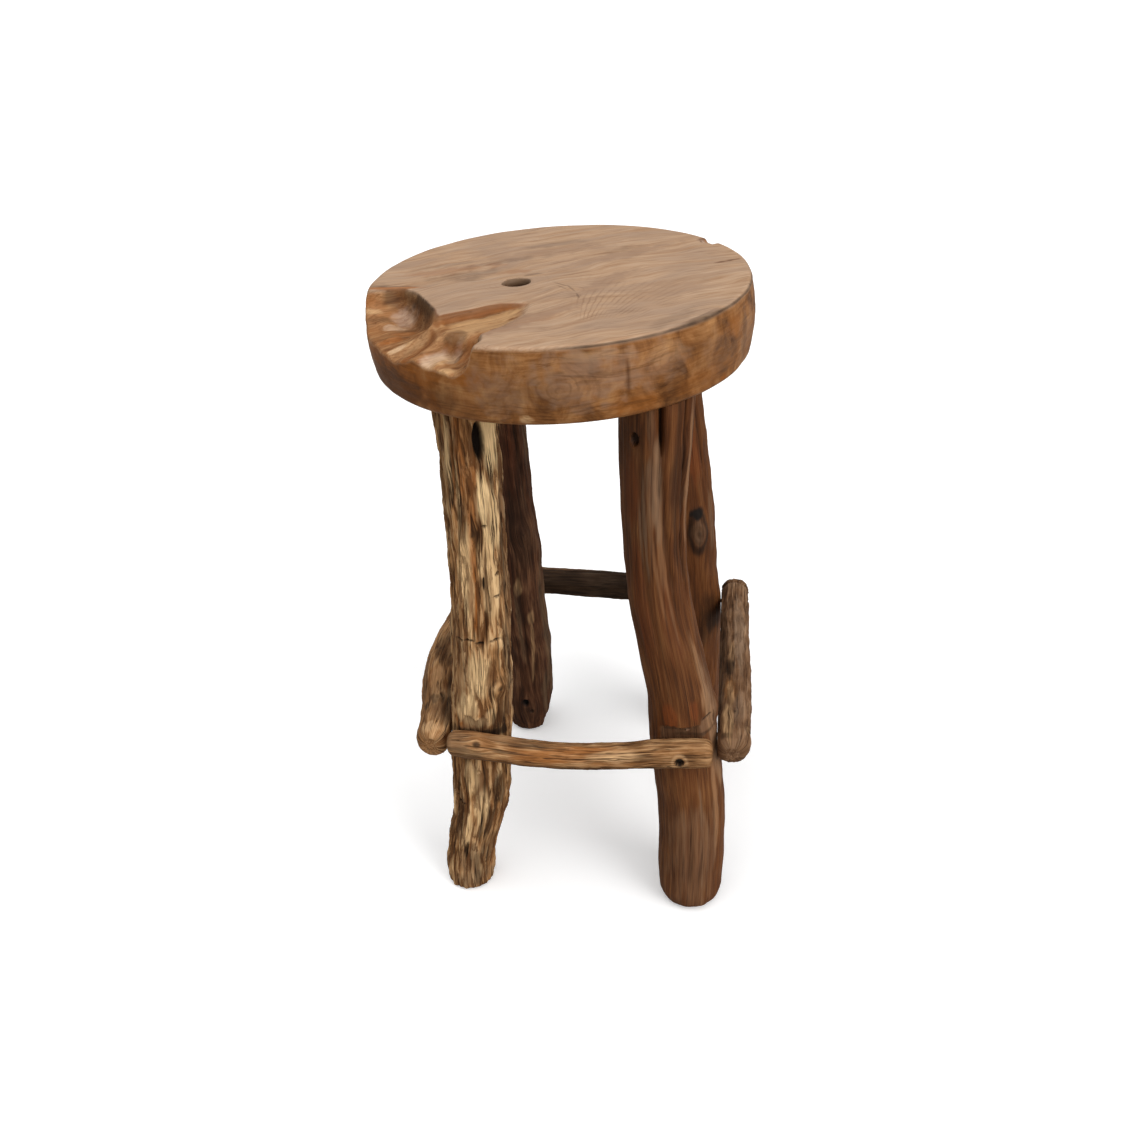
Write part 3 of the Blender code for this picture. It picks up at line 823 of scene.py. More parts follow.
@dataclass
class Branch:
    """A branch wrapped in a fine carved skin that stands for its CAD node."""

    node: str
    finish: BranchFinish
    slot: str
    roughness: Roughness
    seed: int
    sides: int
    spacing: float
    twist: float = 0.0
    patches: tuple[Patch, ...] = ()
    knots: tuple[Knot, ...] = ()
    clefts: tuple[Cleft, ...] = ()
    pits: tuple[Pit, ...] = ()
    end_zone: float = 0.016
    cap_rows: int = 8
    housings: list[Housing] = field(default_factory=list)

    def axes(self) -> tuple[Vector, Vector, Vector]:
        """Directions of bearing 0, of bearing 90 and along the branch."""
        return Vector((1, 0, 0)), Vector((0, 1, 0)), UP

    def measure(self) -> None:
        """Finds the branch's centre line and its thickness all round, with cuts filled in."""
        self.shape = NodeShape(self.node)
        right, over, along = (np.array(v) for v in self.axes())
        reach = self.shape.points @ along
        self.first, self.last = reach.min(), reach.max()
        zone = self.end_zone
        near = np.linspace(MARGIN, zone, END_LEVELS)
        middle = np.arange(self.first + zone + LEVEL_STEP, self.last - zone - LEVEL_GAP, LEVEL_STEP)
        levels = np.concatenate([self.first + near, middle, self.last - near[::-1]])
        bearings = np.radians(np.arange(0, 360, RAY_STEP))
        rays = [Vector(right * math.cos(b) + over * math.sin(b)) for b in bearings]

        blur = self.weights(levels, levels, LEVEL_BLUR)
        centres = np.array([self.shape.points[abs(reach - s) < CENTRE_BAND].mean(0) for s in levels])
        centres += np.outer(levels - centres @ along, along)
        whole = (levels > self.first + zone) & (levels < self.last - zone)
        for _ in range(3):
            found = self.cast(centres, rays)
            found = np.where(np.isnan(found), np.nanmean(found, axis=1, keepdims=True), found)
            shift = (found[:, :, None] * np.array(rays)[None]).mean(1) * 2
            centres = self.weights(levels, levels[whole], LEVEL_BLUR) @ (centres + shift)[whole]
            centres += np.outer(levels - centres @ along, along)
        found = self.cast(centres, rays)

        around = turn(bearings[:, None], bearings[None]) / math.radians(RAY_BLUR)
        around = np.exp(-0.5 * around**2)
        kept = np.isfinite(found) & whole[:, None]
        values = np.nan_to_num(found)
        for _ in range(6):
            mass = blur @ kept.astype(float) @ around
            trunk = blur @ (values * kept) @ around / np.maximum(mass, 1e-9)
            kept = np.isfinite(found) & whole[:, None] & (values > trunk - CUT_DEPTH)
        fall = np.nanmedian(np.where(trunk - found < 0.6 * trunk, trunk - found, np.nan), axis=1)
        fall = np.where(whole | ~np.isfinite(fall), 0, np.maximum(fall, 0))
        self.levels, self.centres, self.trunk, self.fall = levels, centres, trunk, fall

    def cast(self, centres: Array, rays: list[Vector]) -> Array:
        """Distances from centres to the node's surface along rays."""
        return np.array([[self.shape.reach(Vector(c), ray, RAY_REACH) for ray in rays] for c in centres])

    @staticmethod
    def weights(at: Array, known: Array, spread: float) -> Array:
        """Shares that blur values known at some levels to other levels.

        Args:
            at: Levels to blur to.
            known: Levels that are known.
            spread: Width of the blur.

        Returns:
            A matrix with rows that add up to 1.
        """
        gaps = np.gradient(known)
        share = np.exp(-0.5 * ((at[:, None] - known[None]) / spread) ** 2) * gaps
        return share / share.sum(1, keepdims=True)

    def lay_out(self) -> None:
        """Spreads the fine grid over the measured branch."""
        count = int((self.last - self.first) / self.spacing)
        self.along = np.linspace(self.first, self.last, count)
        bearings = np.linspace(0, 2 * np.pi, self.sides, endpoint=False)
        self.middles = np.stack([np.interp(self.along, self.levels, self.centres[:, k]) for k in range(3)], 1)
        coarse = np.radians(np.arange(0, 360 + RAY_STEP, RAY_STEP))
        rows = np.array([np.interp(bearings, coarse, np.append(row, row[0])) for row in self.trunk])
        self.radius = np.array([np.interp(self.along, self.levels, column) for column in rows.T]).T
        self.falls = np.interp(self.along, self.levels, self.fall)
        self.size = self.radius.mean()
        self.theta = np.broadcast_to(bearings[None], self.radius.shape)
        self.place = np.broadcast_to(self.along[:, None], self.radius.shape)
        right, over, _ = (np.array(v) for v in self.axes())
        self.rays = np.cos(self.theta)[..., None] * right + np.sin(self.theta)[..., None] * over
        self.marks = np.zeros((*self.radius.shape, len(Mark)))
        self.noise = Noise(self.seed)

    def offset(
        self, bearing: float | Array, place: float, half_width: float, half_length: float,
    ) -> tuple[Array, Array]:
        """How far the grid lies from a spot, in half widths and half lengths."""
        middle = np.radians(bearing)
        return turn(self.theta, middle) * self.size / half_width, (self.place - place) / half_length

    def flow(self) -> None:
        """Lays the grain along the branch, twisted, and turned aside round the knots."""
        theta = self.theta + self.twist * (self.place - self.first)
        for knot in self.knots:
            across, length = self.offset(knot.bearing, knot.place, knot.half_width * 2.0, knot.half_length * 2.2)
            theta = theta - 0.7 * across * knot.half_width * 2.0 / self.size * bell(np.hypot(across, length))
        self.grain = np.stack([self.size * np.cos(theta), self.size * np.sin(theta), self.place], -1)

    def roughen(self) -> Array:
        """Relief of the bark or weathered wood.

        Returns:
            Heights above the trunk.
        """
        kind = self.roughness
        heights = np.zeros(self.radius.shape)
        for (depth, width, length), shift in ((kind.ridge, 0.0), (kind.fibre, 40.0)):
            at = self.grain / np.array([width, width, length]) + shift
            warp = self.noise(self.grain / np.array([0.02, 0.02, 0.05]) + shift + 9)[..., None]
            heights += depth * (self.noise.ridges(at + 0.5 * warp) - 0.45)
        depth, width, length = kind.flake
        if depth:
            at = self.grain / np.array([width, width, length]) + 80
            heights += depth * (np.round(self.noise.layers(at, 2) * 1.6) / 1.6)
        depth, size = kind.lump
        heights += depth * self.noise(self.grain / size + 120)
        return heights

    def paint(self, kind: Mark, amount: Array) -> None:
        """Adds to a channel of the marks, where it is stronger than what is there."""
        self.marks[..., kind.value] = np.maximum(self.marks[..., kind.value], np.clip(amount, 0, 1))

    def carve(self) -> Array:
        """Cuts the knots, clefts and pits, paints the patches, and paints shade into the clefts and pits.

        Returns:
            Heights to add to the trunk.
        """
        heights = np.zeros(self.radius.shape)
        frayed = self.noise.layers(self.grain / np.array([0.006, 0.006, 0.035]) + 200, 2)
        for patch in self.patches:
            lean = patch.bearing + patch.lean * (self.place - patch.place) / LEAN_LENGTH
            across, length = self.offset(lean, patch.place, patch.half_width, patch.half_length)
            away = np.hypot(across, length) + 0.35 * frayed
            self.paint(patch.kind, patch.strength * (1 - ease(0.55, 1.1, away)))
        for knot in self.knots:
            across, length = self.offset(knot.bearing, knot.place, knot.half_width, knot.half_length)
            away = np.hypot(across, length)
            wavy = away + 0.12 * self.noise(self.grain / 0.012 + 300)
            ring = np.cos(2 * np.pi * knot.rings * wavy) * bell(away)
            heights += knot.height * bell(away * 0.8) + 0.0006 * ring
            core = np.maximum(bell(wavy * 2.4), 0.45 * np.maximum(-ring, 0) + 0.2 * bell(away))
            self.paint(Mark.DARK, knot.dark * core)
            self.paint(Mark.DARK, knot.halo * bell(np.abs(wavy - 0.80) / 0.40))
        for cleft in self.clefts:
            lines, places = zip(*sorted(cleft.points, key=lambda point: point[1]))
            line = np.radians(np.interp(self.place, places, lines))
            span = places[-1] - places[0]
            inside = ease(places[0] - 0.02 * span, places[0] + 0.25 * span, self.place)
            inside *= 1 - ease(places[-1] - 0.12 * span, places[-1] + 0.02 * span, self.place)
            wander = 0.25 * self.noise(self.grain / np.array([0.01, 0.01, 0.02]) + 400)
            away = np.abs(turn(self.theta, line)) * self.size / (cleft.half_width * (0.35 + 0.65 * inside)) + wander
            cut = bell(away) * inside
            heights -= cleft.depth * cut
            # Painted shade in the groove
            self.paint(Mark.DARK, cleft.dark * ease(0.35, 0.9, cut))
        for pit in self.pits:
            across, length = self.offset(pit.bearing, pit.place, pit.half_width, pit.half_length)
            away = np.sqrt(across**2 + length**2 * (1 + 0.5 * np.abs(across))) + 0.10 * frayed
            inside = 1 - ease(0.62, 1.08, away)
            heights -= pit.depth * inside * (1 - 0.35 * np.clip(away, 0, 1) ** 2)
            # Painted shade inside the pit
            self.paint(Mark.DARK, pit.dark * (1 - ease(0.72, 1.15, away)))
        return heights

    def settle(self, radius: Array) -> Array:
        """Cuts the flats, lowers what would stand through them, and paints shade and grey on them.

        Args:
            radius: Distances from the centre line to the skin.

        Returns:
            The distances after the cuts.
        """
        for housing in self.housings:
            outward, upward = np.array(housing.outward), np.array(housing.upward)
            points = self.middles[:, None] + radius[..., None] * self.rays
            level = points @ upward
            edge = housing.ragged * (0.4 + self.noise.layers(self.grain / np.array([0.008, 0.008, 0.5]) + 500, 2))
            facing = self.rays @ outward
            floor = (housing.floor - self.middles @ outward)[:, None] / np.maximum(facing, GRAZING)
            inside = (level > housing.low) & (level < housing.high + np.maximum(edge, 0)) & (facing > GRAZING)
            cut = inside & (floor < radius)
            radius = np.where(cut, floor + 0.0002 * self.noise(self.grain / 0.004 + 600), radius)
            # Painted shade on the cut flat under its ragged ledge, and a grey tint
            self.paint(Mark.DARK, 0.30 * cut)
            self.paint(Mark.GREY, 0.4 * cut)
        return radius

    def skin(self) -> bpy.types.Object:
        """Builds the carved skin.

        Returns:
            The branch's object.
        """
        self.lay_out()
        self.flow()
        rough = self.roughen()
        kind = self.roughness
        depth = abs(kind.ridge[0]) + abs(kind.fibre[0]) + kind.flake[0]
        carved = self.carve()
        calm = 1 - self.marks[..., Mark.DARK.value] * 0.6
        calm = calm * (1 - 0.8 * np.clip(self.falls / (0.4 * self.size), 0, 1))[:, None]
        radius = self.settle(self.radius + rough * calm + carved)
        radius = np.maximum(radius - self.falls[:, None], 0.004)
        points = self.middles[:, None] + radius[..., None] * self.rays
        relief = np.clip(0.5 + rough / (1.5 * depth), 0, 1)
        layers = {"grain": self.grain, "relief": relief[..., None], "marks": self.marks}
        shares = np.linspace(0, 1, self.cap_rows, endpoint=False)
        first, last = self.middles[0], self.middles[-1]
        foot = first + shares[:, None, None] * (points[:1] - first)
        head = last + shares[::-1, None, None] * (points[-1:] - last)
        points = np.concatenate([foot, points, head])
        for name, values in layers.items():
            ends = [np.repeat(values[row][None], self.cap_rows, 0) for row in (0, -1)]
            if name == "grain":
                ends[0][..., :2] *= shares[:, None, None]
                ends[1][..., :2] *= shares[::-1, None, None]
            if name == "relief":
                patterns = [self.noise.layers(cap / 0.006, 2) for cap in (foot, head)]
                ends = [np.clip(0.42 + 0.4 * pattern, 0, 1)[..., None] for pattern in patterns]
            layers[name] = np.concatenate([ends[0], values, ends[1]])
        obj = wrap_skin(self.node + "_skin", points, layers)
        smooth_shading(obj.data, 60)
        return obj

    def build(self) -> bpy.types.Object:
        """Builds and dresses the branch.

        Returns:
            The finished piece, riding on the stool.
        """
        self.measure()
        obj = self.skin()
        finish_piece(obj, self.node, self.finish.material())
        return obj


@dataclass
class Leg(Branch):
    """A leg, with housings where the rails are let in."""

    ragged: float = 0.003

    def let_in(self, rails: list["Rail"]) -> None:
        """Finds the housings that the CAD leg has for the rails.

        Args:
            rails: The stool's four rails.
        """
        shape = NodeShape(self.node)
        for rail in rails:
            outward, upward, _ = rail.axes()
            facing = shape.normals @ np.array(outward) > SAME_WAY
            level = shape.centres @ np.array(outward)
            found = np.flatnonzero(facing & (abs(level - rail.flat) < HOUSING_GAP))
            if not len(found):
                continue
            corners = shape.points[[v for f in found for v in shape.faces[f]]] @ np.array(upward)
            floor = float(np.median(level[found]))
            self.housings.append(Housing(outward, upward, floor, corners.min(), corners.max(), self.ragged))


@dataclass
class Rail(Branch):
    """A rail, flat along its inner side, with a sunk screw near each end."""

    screws: tuple[str, ...] = ()
    hole_radius: float = 0.0042
    end_zone: float = 0.013

    def __post_init__(self) -> None:
        """Finds the rail's directions from its node."""
        shape = NodeShape(self.node)
        level = np.abs(shape.normals[:, 2]) < 0.3
        groups: dict[tuple[float, ...], float] = {}
        for normal, area in zip(np.round(shape.normals[level], 2), shape.areas[level]):
            groups[tuple(normal)] = groups.get(tuple(normal), 0.0) + area
        flat = np.array(max(groups, key=groups.get))
        near = level & (shape.normals @ flat > SAME_WAY)
        inward = np.average(shape.normals[near], axis=0, weights=shape.areas[near])
        self.outward = Vector(-inward).normalized()
        self.flat = float(np.average(shape.centres[near] @ np.array(self.outward), weights=shape.areas[near]))
        spread = shape.points - shape.points.mean(0)
        run = Vector(np.linalg.svd(spread, full_matrices=False)[2][0])
        run = run if run.dot(self.outward.cross(UP)) > 0 else -run
        run = (run - self.outward * run.dot(self.outward)).normalized()
        self.run, self.upward = run, run.cross(self.outward)

    def axes(self) -> tuple[Vector, Vector, Vector]:
        """Directions outward, upward and along the rail."""
        return self.outward, self.upward, self.run

    def settle(self, radius: Array) -> Array:
        """Cuts the flat along the inner side and the screw holes, and paints shade into the holes.

        Args:
            radius: Distances from the centre line to the skin.

        Returns:
            The distances after the cuts.
        """
        outward, upward = np.array(self.outward), np.array(self.upward)
        facing = -(self.rays @ outward)
        floor = (self.middles @ outward - self.flat)[:, None] / np.maximum(facing, GRAZING)
        radius = np.where((facing > GRAZING) & (floor < radius), floor, radius)
        for screw in self.screws:
            low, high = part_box(screw)
            spot = (np.array(low) + np.array(high)) / 2
            corners = np.array([v.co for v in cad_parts[screw].data.vertices])
            head = (corners @ outward).max()
            points = self.middles[:, None] + radius[..., None] * self.rays
            away = np.hypot(points @ upward - spot @ upward, self.place - spot @ np.array(self.run))
            away = away * (1 + 0.08 * self.noise(self.grain / 0.01 + 700))
            inside = (away < self.hole_radius) & (facing < 0)
            bottom = (head - 0.0006 - self.middles @ outward)[:, None] / np.maximum(-facing, GRAZING)
            radius = np.where(inside & (bottom < radius), bottom, radius)
            # Painted shade inside the screw hole
            self.paint(Mark.DARK, np.where(facing < 0, 1 - ease(self.hole_radius, self.hole_radius + 0.0012, away), 0))
            ring = bell(np.abs(away - self.hole_radius - 0.003) / 0.0025) * (facing < 0)
            self.paint(Mark.PALE, 0.4 * ring)
        return radius


# The seat


@dataclass(frozen=True)
class Swirl:
    """A swirl in the slab's figure, with rings round it, on the top or on the edge."""

    x: float
    y: float
    reach: float
    push: float
    rings: float
    facing: float = 0.0
    spread: float = 180.0
    fans: bool = False


@dataclass(frozen=True)
class Stain:
    """A patch of colour on the slab, with its middle at (x, y) on the top or (bearing, height) on the edge; a few are
    painted shade and highlights.
    """

    kind: Mark
    x: float
    y: float
    half_length: float
    half_width: float
    lean: float = 0.0
    strength: float = 0.8
    fray: float = 0.35

    @classmethod
    def rows(cls, kind: Mark, *sizes: tuple[float, ...]) -> tuple["Stain", ...]:
        """Slab patches of one kind, from rows of their other fields."""
        return tuple(cls(kind, *row) for row in sizes)


TOP_SWIRLS = (
    Swirl(0.018, -0.038, 0.030, 0.6, 0.7),
    Swirl(0.047, -0.173, 0.190, 0.0, 1.0, facing=80.0, spread=25.0, fans=True),
    Swirl(-0.0375, -0.012, 0.040, 0.6, 0.4),
)
EDGE_SWIRLS = (
    Swirl(277.0, 0.614, 0.036, 0.5, 0.6),
    Swirl(308.0, 0.6245, 0.026, 0.5, 0.5),
    Swirl(222.0, 0.604, 0.024, 0.4, 0.4),
)
TOP_STAINS_AND_SHEEN = (
    *Stain.rows(
        Mark.WARM,
        (-0.044, 0.018, 0.014, 0.008, 20, 0.34, 0.6), (-0.152, -0.022, 0.036, 0.004, 0, 0.85, 0.2),
        (-0.104, 0.028, 0.05, 0.012, 24, 0.34, 0.6), (-0.02, -0.12, 0.05, 0.014, 36, 0.24, 0.6),
        (0.157, 0.039, 0.017, 0.0026, 28, 0.5, 0.2),
    ),
    *Stain.rows(
        Mark.DARK,
        (-0.024, 0.01, 0.012, 0.003, 25, 0.35), (-0.152, -0.018, 0.034, 0.0016, 0, 0.5, 0.15),
        (0.004, -0.0195, 0.012, 0.0011, -40, 0.36, 0.3), (0.017, -0.034, 0.012, 0.0011, -62, 0.36, 0.3),
        (0.008, -0.03, 0.01, 0.0008, -48, 0.4, 0.3), (0.025, -0.054, 0.01, 0.001, -75, 0.4, 0.3),
        (-0.092, 0.012, 0.046, 0.011, 22, 0.24), (-0.085, 0.0, 0.016, 0.007, 20, 0.28),
        (-0.064, 0.051, 0.05, 0.008, 24, 0.21), (-0.017, 0.108, 0.04, 0.01, 24, 0.18),
        (-0.122, 0.042, 0.038, 0.006, 24, 0.18), (0.052, 0.082, 0.03, 0.006, 34, 0.18),
        (0.112, -0.118, 0.04, 0.009, 52, 0.16), (0.137, 0.106, 0.006, 0.0025, -52, 0.6, 0.5),
        (0.157, 0.039, 0.018, 0.0022, 28, 0.55, 0.2),
    ),
    # The broad grey patch at x 0.105, y -0.045 is painted sheen on the right of the top.
    *Stain.rows(
        Mark.GREY,
        (0.002, -0.098, 0.06, 0.011, 43, 0.75), (0.045, -0.02, 0.05, 0.012, 58, 0.65),
        (-0.022, -0.128, 0.036, 0.01, 38, 0.75), (0.105, -0.045, 0.045, 0.02, 30, 0.35),
        (-0.02, 0.08, 0.08, 0.016, 24, 0.6), (0.06, 0.07, 0.07, 0.014, 34, 0.7),
        (0.135, 0.106, 0.014, 0.008, -52, 0.95, 0.5),
    ),
)
# Painted shade on the steep back of the pocket, in the upper part of the hollows
POCKET_SHADE = (
    *Stain.rows(
        Mark.DARK,
        (-0.11, -0.056, 0.046, 0.03, -56, 0.8, 0.22), (-0.136, -0.03, 0.034, 0.012, -10, 0.52, 0.3),
    ),
)
# Some pale and grey patches here are painted glints and sheen: on the pocket floor, on the crest and in the front
# scoop.
HOLLOW_STAINS_AND_GLINTS = (
    *Stain.rows(
        Mark.WARM,
        (-0.15, -0.0215, 0.036, 0.0045, 0, 0.8), (-0.169, -0.034, 0.014, 0.004, 0, 0.6),
        (-0.132, -0.074, 0.016, 0.006, 20, 0.75), (-0.14, -0.094, 0.015, 0.0085, 30, 0.95),
        (-0.106, -0.133, 0.024, 0.0065, 35, 0.85), (-0.0706, -0.1305, 0.015, 0.0105, 30, 1.0),
        (-0.059, -0.142, 0.015, 0.006, 62, 0.65),
    ),
    *Stain.rows(
        Mark.PALE,
        (-0.17, -0.04, 0.013, 0.0032, 0, 0.65), (-0.146, -0.059, 0.015, 0.006, 0, 0.36),
        (-0.128, -0.114, 0.009, 0.005, 30, 0.9), (-0.12, -0.11, 0.012, 0.005, 40, 0.55),
        (-0.102, -0.11, 0.03, 0.006, 30, 0.35), (-0.054, -0.094, 0.044, 0.018, 15, 0.62),
        (-0.05, -0.115, 0.036, 0.018, 20, 0.62), (-0.084, -0.148, 0.017, 0.011, 30, 0.8),
        (-0.0746, -0.165, 0.012, 0.0042, 20, 0.65),
    ),
    *Stain.rows(
        Mark.DARK,
        (-0.16, -0.0485, 0.014, 0.005, 0, 0.34), (-0.131, -0.064, 0.013, 0.0045, 10, 0.36),
        (-0.122, -0.085, 0.014, 0.005, 30, 0.26), (-0.103, -0.129, 0.02, 0.003, 35, 0.3),
        (-0.0706, -0.129, 0.013, 0.009, 30, 0.5), (-0.067, -0.144, 0.009, 0.0024, 62, 0.42),
        (-0.05, -0.154, 0.018, 0.005, 62, 0.55),
    ),
    *Stain.rows(
        Mark.GREY,
        (-0.146, -0.059, 0.014, 0.006, 0, 0.36), (-0.128, -0.114, 0.008, 0.004, 30, 0.3),
        (-0.139, -0.045, 0.018, 0.012, -30, 0.42), (-0.087, -0.146, 0.016, 0.011, 35, 0.56),
        (-0.072, -0.144, 0.013, 0.005, 62, 0.3),
    ),
)
EDGE_STAINS_SHADE_AND_HIGHLIGHT = (
    *Stain.rows(
        Mark.WARM,
        (222.0, 0.606, 0.076, 0.036, 0, 0.8), (295.0, 0.618, 0.0018, 0.019, 0, 0.9, 0.2),
        (329.0, 0.587, 0.006, 0.004, 0, 0.9), (318.0, 0.596, 0.03, 0.014, 0, 0.4), (298.0, 0.592, 0.03, 0.01, 0, 0.5),
        (252.0, 0.622, 0.02, 0.01, 0, 0.55), (334.0, 0.63, 0.014, 0.012, 0, 0.5),
    ),
    # The dark patches at bearings 222 and 243 are partly painted shade on the edge's shaded left end.
    *Stain.rows(
        Mark.DARK,
        (222.0, 0.598, 0.06, 0.024, 0, 0.52), (243.0, 0.598, 0.022, 0.016, 0, 0.34),
        (295.2, 0.618, 0.0008, 0.018, 0, 0.6, 0.1), (341.0, 0.612, 0.007, 0.03, 0, 0.3),
        (271.0, 0.612, 0.03, 0.016, 0, 0.26), (270.0, 0.612, 0.062, 0.044, 0, 0.13, 0.6),
        (322.0, 0.612, 0.034, 0.044, 0, 0.14, 0.6), (259.0, 0.604, 0.014, 0.008, 0, 0.24),
        (312.0, 0.596, 0.026, 0.005, 0, 0.16),
    ),
    # The pale band at bearing 286, just under the top edge, is a painted highlight.
    *Stain.rows(
        Mark.PALE,
        (268.0, 0.588, 0.006, 0.004, 0, 0.8), (286.0, 0.641, 0.032, 0.005, 0, 0.3),
        (306.0, 0.632, 0.022, 0.01, 0, 0.16),
    ),
    *Stain.rows(
        Mark.GREY,
        (284.0, 0.622, 0.056, 0.028, 0, 0.62, 0.6), (304.0, 0.62, 0.036, 0.02, 0, 0.36, 0.6),
        (262.0, 0.612, 0.036, 0.024, 0, 0.4, 0.6), (344.0, 0.612, 0.026, 0.024, 0, 0.34, 0.6),
        (326.0, 0.616, 0.03, 0.022, 0, 0.24, 0.6),
    ),
)


# Eight directions round a vertex
COMPASS = ((1, 0), (0.7, 0.7), (0, 1), (-0.7, 0.7), (-1, 0), (-0.7, -0.7), (0, -1), (0.7, -0.7))


@dataclass
class Seat:
    """The slab seat: sanded top, varnished edge, knot hole and the weathered hollows in its rim."""

    dowels: tuple[str, ...]
    node: str = "seat"
    slot: str = "slab_wood"
    finish: SlabFinish = SlabFinish()
    columns: tuple[tuple[float, float, int], ...] = (
        (186.0, 256.0, 200), (256.0, 388.0, 148), (388.0, 408.0, 36), (408.0, 546.0, 54),
    )
    core_share: float = 0.26
    core_rows: int = 30
    top_rows: int = 168
    wall_rows: int = 26
    round_rows: int = 7
    base_rows: int = 6
    top_round: float = 0.005
    worn_round: float = 0.0036
    base_round: float = 0.008
    hole_radius: float = 0.0135
    hole_depth: float = 0.042
    hole_flare: float = 0.0007
    hole_place: tuple[float, float] = (-0.0375, -0.012)
    hole_margin: float = 0.003
    socket_gap: float = 0.0003
    fan_middle: tuple[float, float] = (-0.088, -0.094)
    fan_height: float = 0.0013
    pocket_place: tuple[float, float] = (-0.112, -0.044)
    pocket_size: tuple[float, float] = (0.056, 0.036)
    pocket_lean: float = -46.0
    pocket_step: float = 0.0045
    tongue_turn: float = math.radians(22.0)
    tongue: tuple[tuple[float, float, float, float], ...] = (
        (-0.120, 0.0570, 0.070, 0.0085), (-0.107, 0.0553, 0.070, 0.0092), (-0.092, 0.0538, 0.066, 0.0094),
        (-0.075, 0.0502, 0.062, 0.0090), (-0.062, 0.0492, 0.050, 0.0078), (-0.052, 0.0520, 0.036, 0.0050),
        (-0.045, 0.0560, 0.018, 0.0026), (-0.040, 0.0600, 0.010, 0.0),
    )
    ragged: float = 0.0024
    rim_line: tuple[float, float, float] = (-0.0903, -0.0909, 210.5)
    rim_slope: float = 0.009
    chip_bearing: float = 38.0
    chip_turn: float = 4.0
    chip_reach: float = 0.012
    chip_depth: float = 0.0045
    lip_shade_bearing: float = 320.0
    slope_step: float = 0.0012
    relief_reach: float = 0.005
    grain_bearing: float = 27.0
    rim_mends: tuple[tuple[float, float], ...] = (
        (205.0, 0.0), (213.0, 0.003), (217.0, -0.002), (222.0, -0.006), (230.0, -0.002), (237.0, 0.002),
        (242.0, 0.005), (246.0, 0.003), (248.0, -0.001), (251.0, -0.002), (254.0, -0.005), (257.0, 0.0),
    )
    mend_reach: float = 0.030
    seed: int = 5

    def measure(self) -> None:
        """Finds the slab's sizes, and the depth of its hollows, from the CAD node."""
        low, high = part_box(self.node)
        self.top, self.base = high[2], low[2]
        self.shape = NodeShape(self.node)
        self.noise = Noise(self.seed)
        spans = [np.linspace(start, end, count, endpoint=False) for start, end, count in self.columns]
        self.bearings = np.radians(np.concatenate(spans))
        self.heights = np.linspace(self.base + MARGIN, self.top - MARGIN, 60)
        rays = [Vector((math.cos(b), math.sin(b), 0)) for b in np.radians(np.arange(60, 121, 10))]
        walls = [[self.shape.reach(Vector((0, 0, z)), ray, 0.3) for ray in rays] for z in self.heights]
        self.walls = np.nanmedian(np.array(walls), axis=1)
        self.rim = float(np.interp(self.top - self.top_round, self.heights, self.walls))
        self.limit = self.rim - self.top_round - MARGIN
        core = np.linspace(0, self.core_share, self.core_rows, endpoint=False)
        self.shares = np.concatenate([core, np.linspace(self.core_share, 1, self.top_rows - self.core_rows)])
        radii = self.shares[:, None] * self.limit
        self.hollow = self.sink(radii * np.cos(self.bearings), radii * np.sin(self.bearings))

    def sink(self, x: Array, y: Array) -> Array:
        """Works up the hollows with ragged edges, fanned ridges and a chip in the far rim.

        Args:
            x: Places across.
            y: Places from front to back.

        Returns:
            Depths below the top.
        """
        flat = np.stack([x, y, np.zeros_like(x)], -1)
        warp = [self.ragged * self.noise.layers(flat / 0.022 + shift, 2) for shift in (0.0, 31.0)]
        depth = self.soften(self.read(x + warp[0], y + warp[1]), 5)
        depth = self.break_rim(depth, x, y, warp)
        depth = self.soften(self.lay_tongue(depth, x, y, warp), 3)
        bearings = np.degrees(np.arctan2(y, x)) % 360
        inset = self.limit - np.hypot(x, y)
        mends = np.interp(bearings, *zip(*self.rim_mends))
        depth = depth - mends * bell(inset / self.mend_reach) * ease(0.001, 0.006, depth)
        away, fan = self.fan(x, y)
        ridges = self.noise(np.stack([fan * 2.6, away / 0.06, away * 0 + 3], -1))
        lumps = self.noise(flat / 0.016 + 12)
        deep = ease(0.003, 0.012, depth)
        depth = depth + self.fan_height * (1.4 * (deep * ease(0.010, 0.05, away)) * ridges + deep * lumps)
        turned = ((bearings - self.chip_bearing + 180) % 360 - 180) / self.chip_turn
        away = np.hypot(turned, inset / self.chip_reach) + 0.30 * self.noise(flat / 0.006 + 25)
        return np.maximum(depth, self.chip_depth * (1 - ease(0.55, 1.0, away)))

    def read(self, x: Array, y: Array) -> Array:
        """Reads the CAD slab's hollows from above, and leaves the knot hole out.

        Args:
            x: Places across.
            y: Places from front to back.

        Returns:
            Depths below the top.
        """
        depth = np.zeros(x.shape)
        for place in np.ndindex(x.shape):
            at = (x[place], y[place])
            out = math.hypot(*at)
            if out > self.limit:
                at = (at[0] * self.limit / out, at[1] * self.limit / out)
            if math.dist(at, self.hole_place) > self.hole_radius + self.hole_margin:
                depth[place] = self.top - self.shape.drop(*at, self.top)
        return np.nan_to_num(depth)

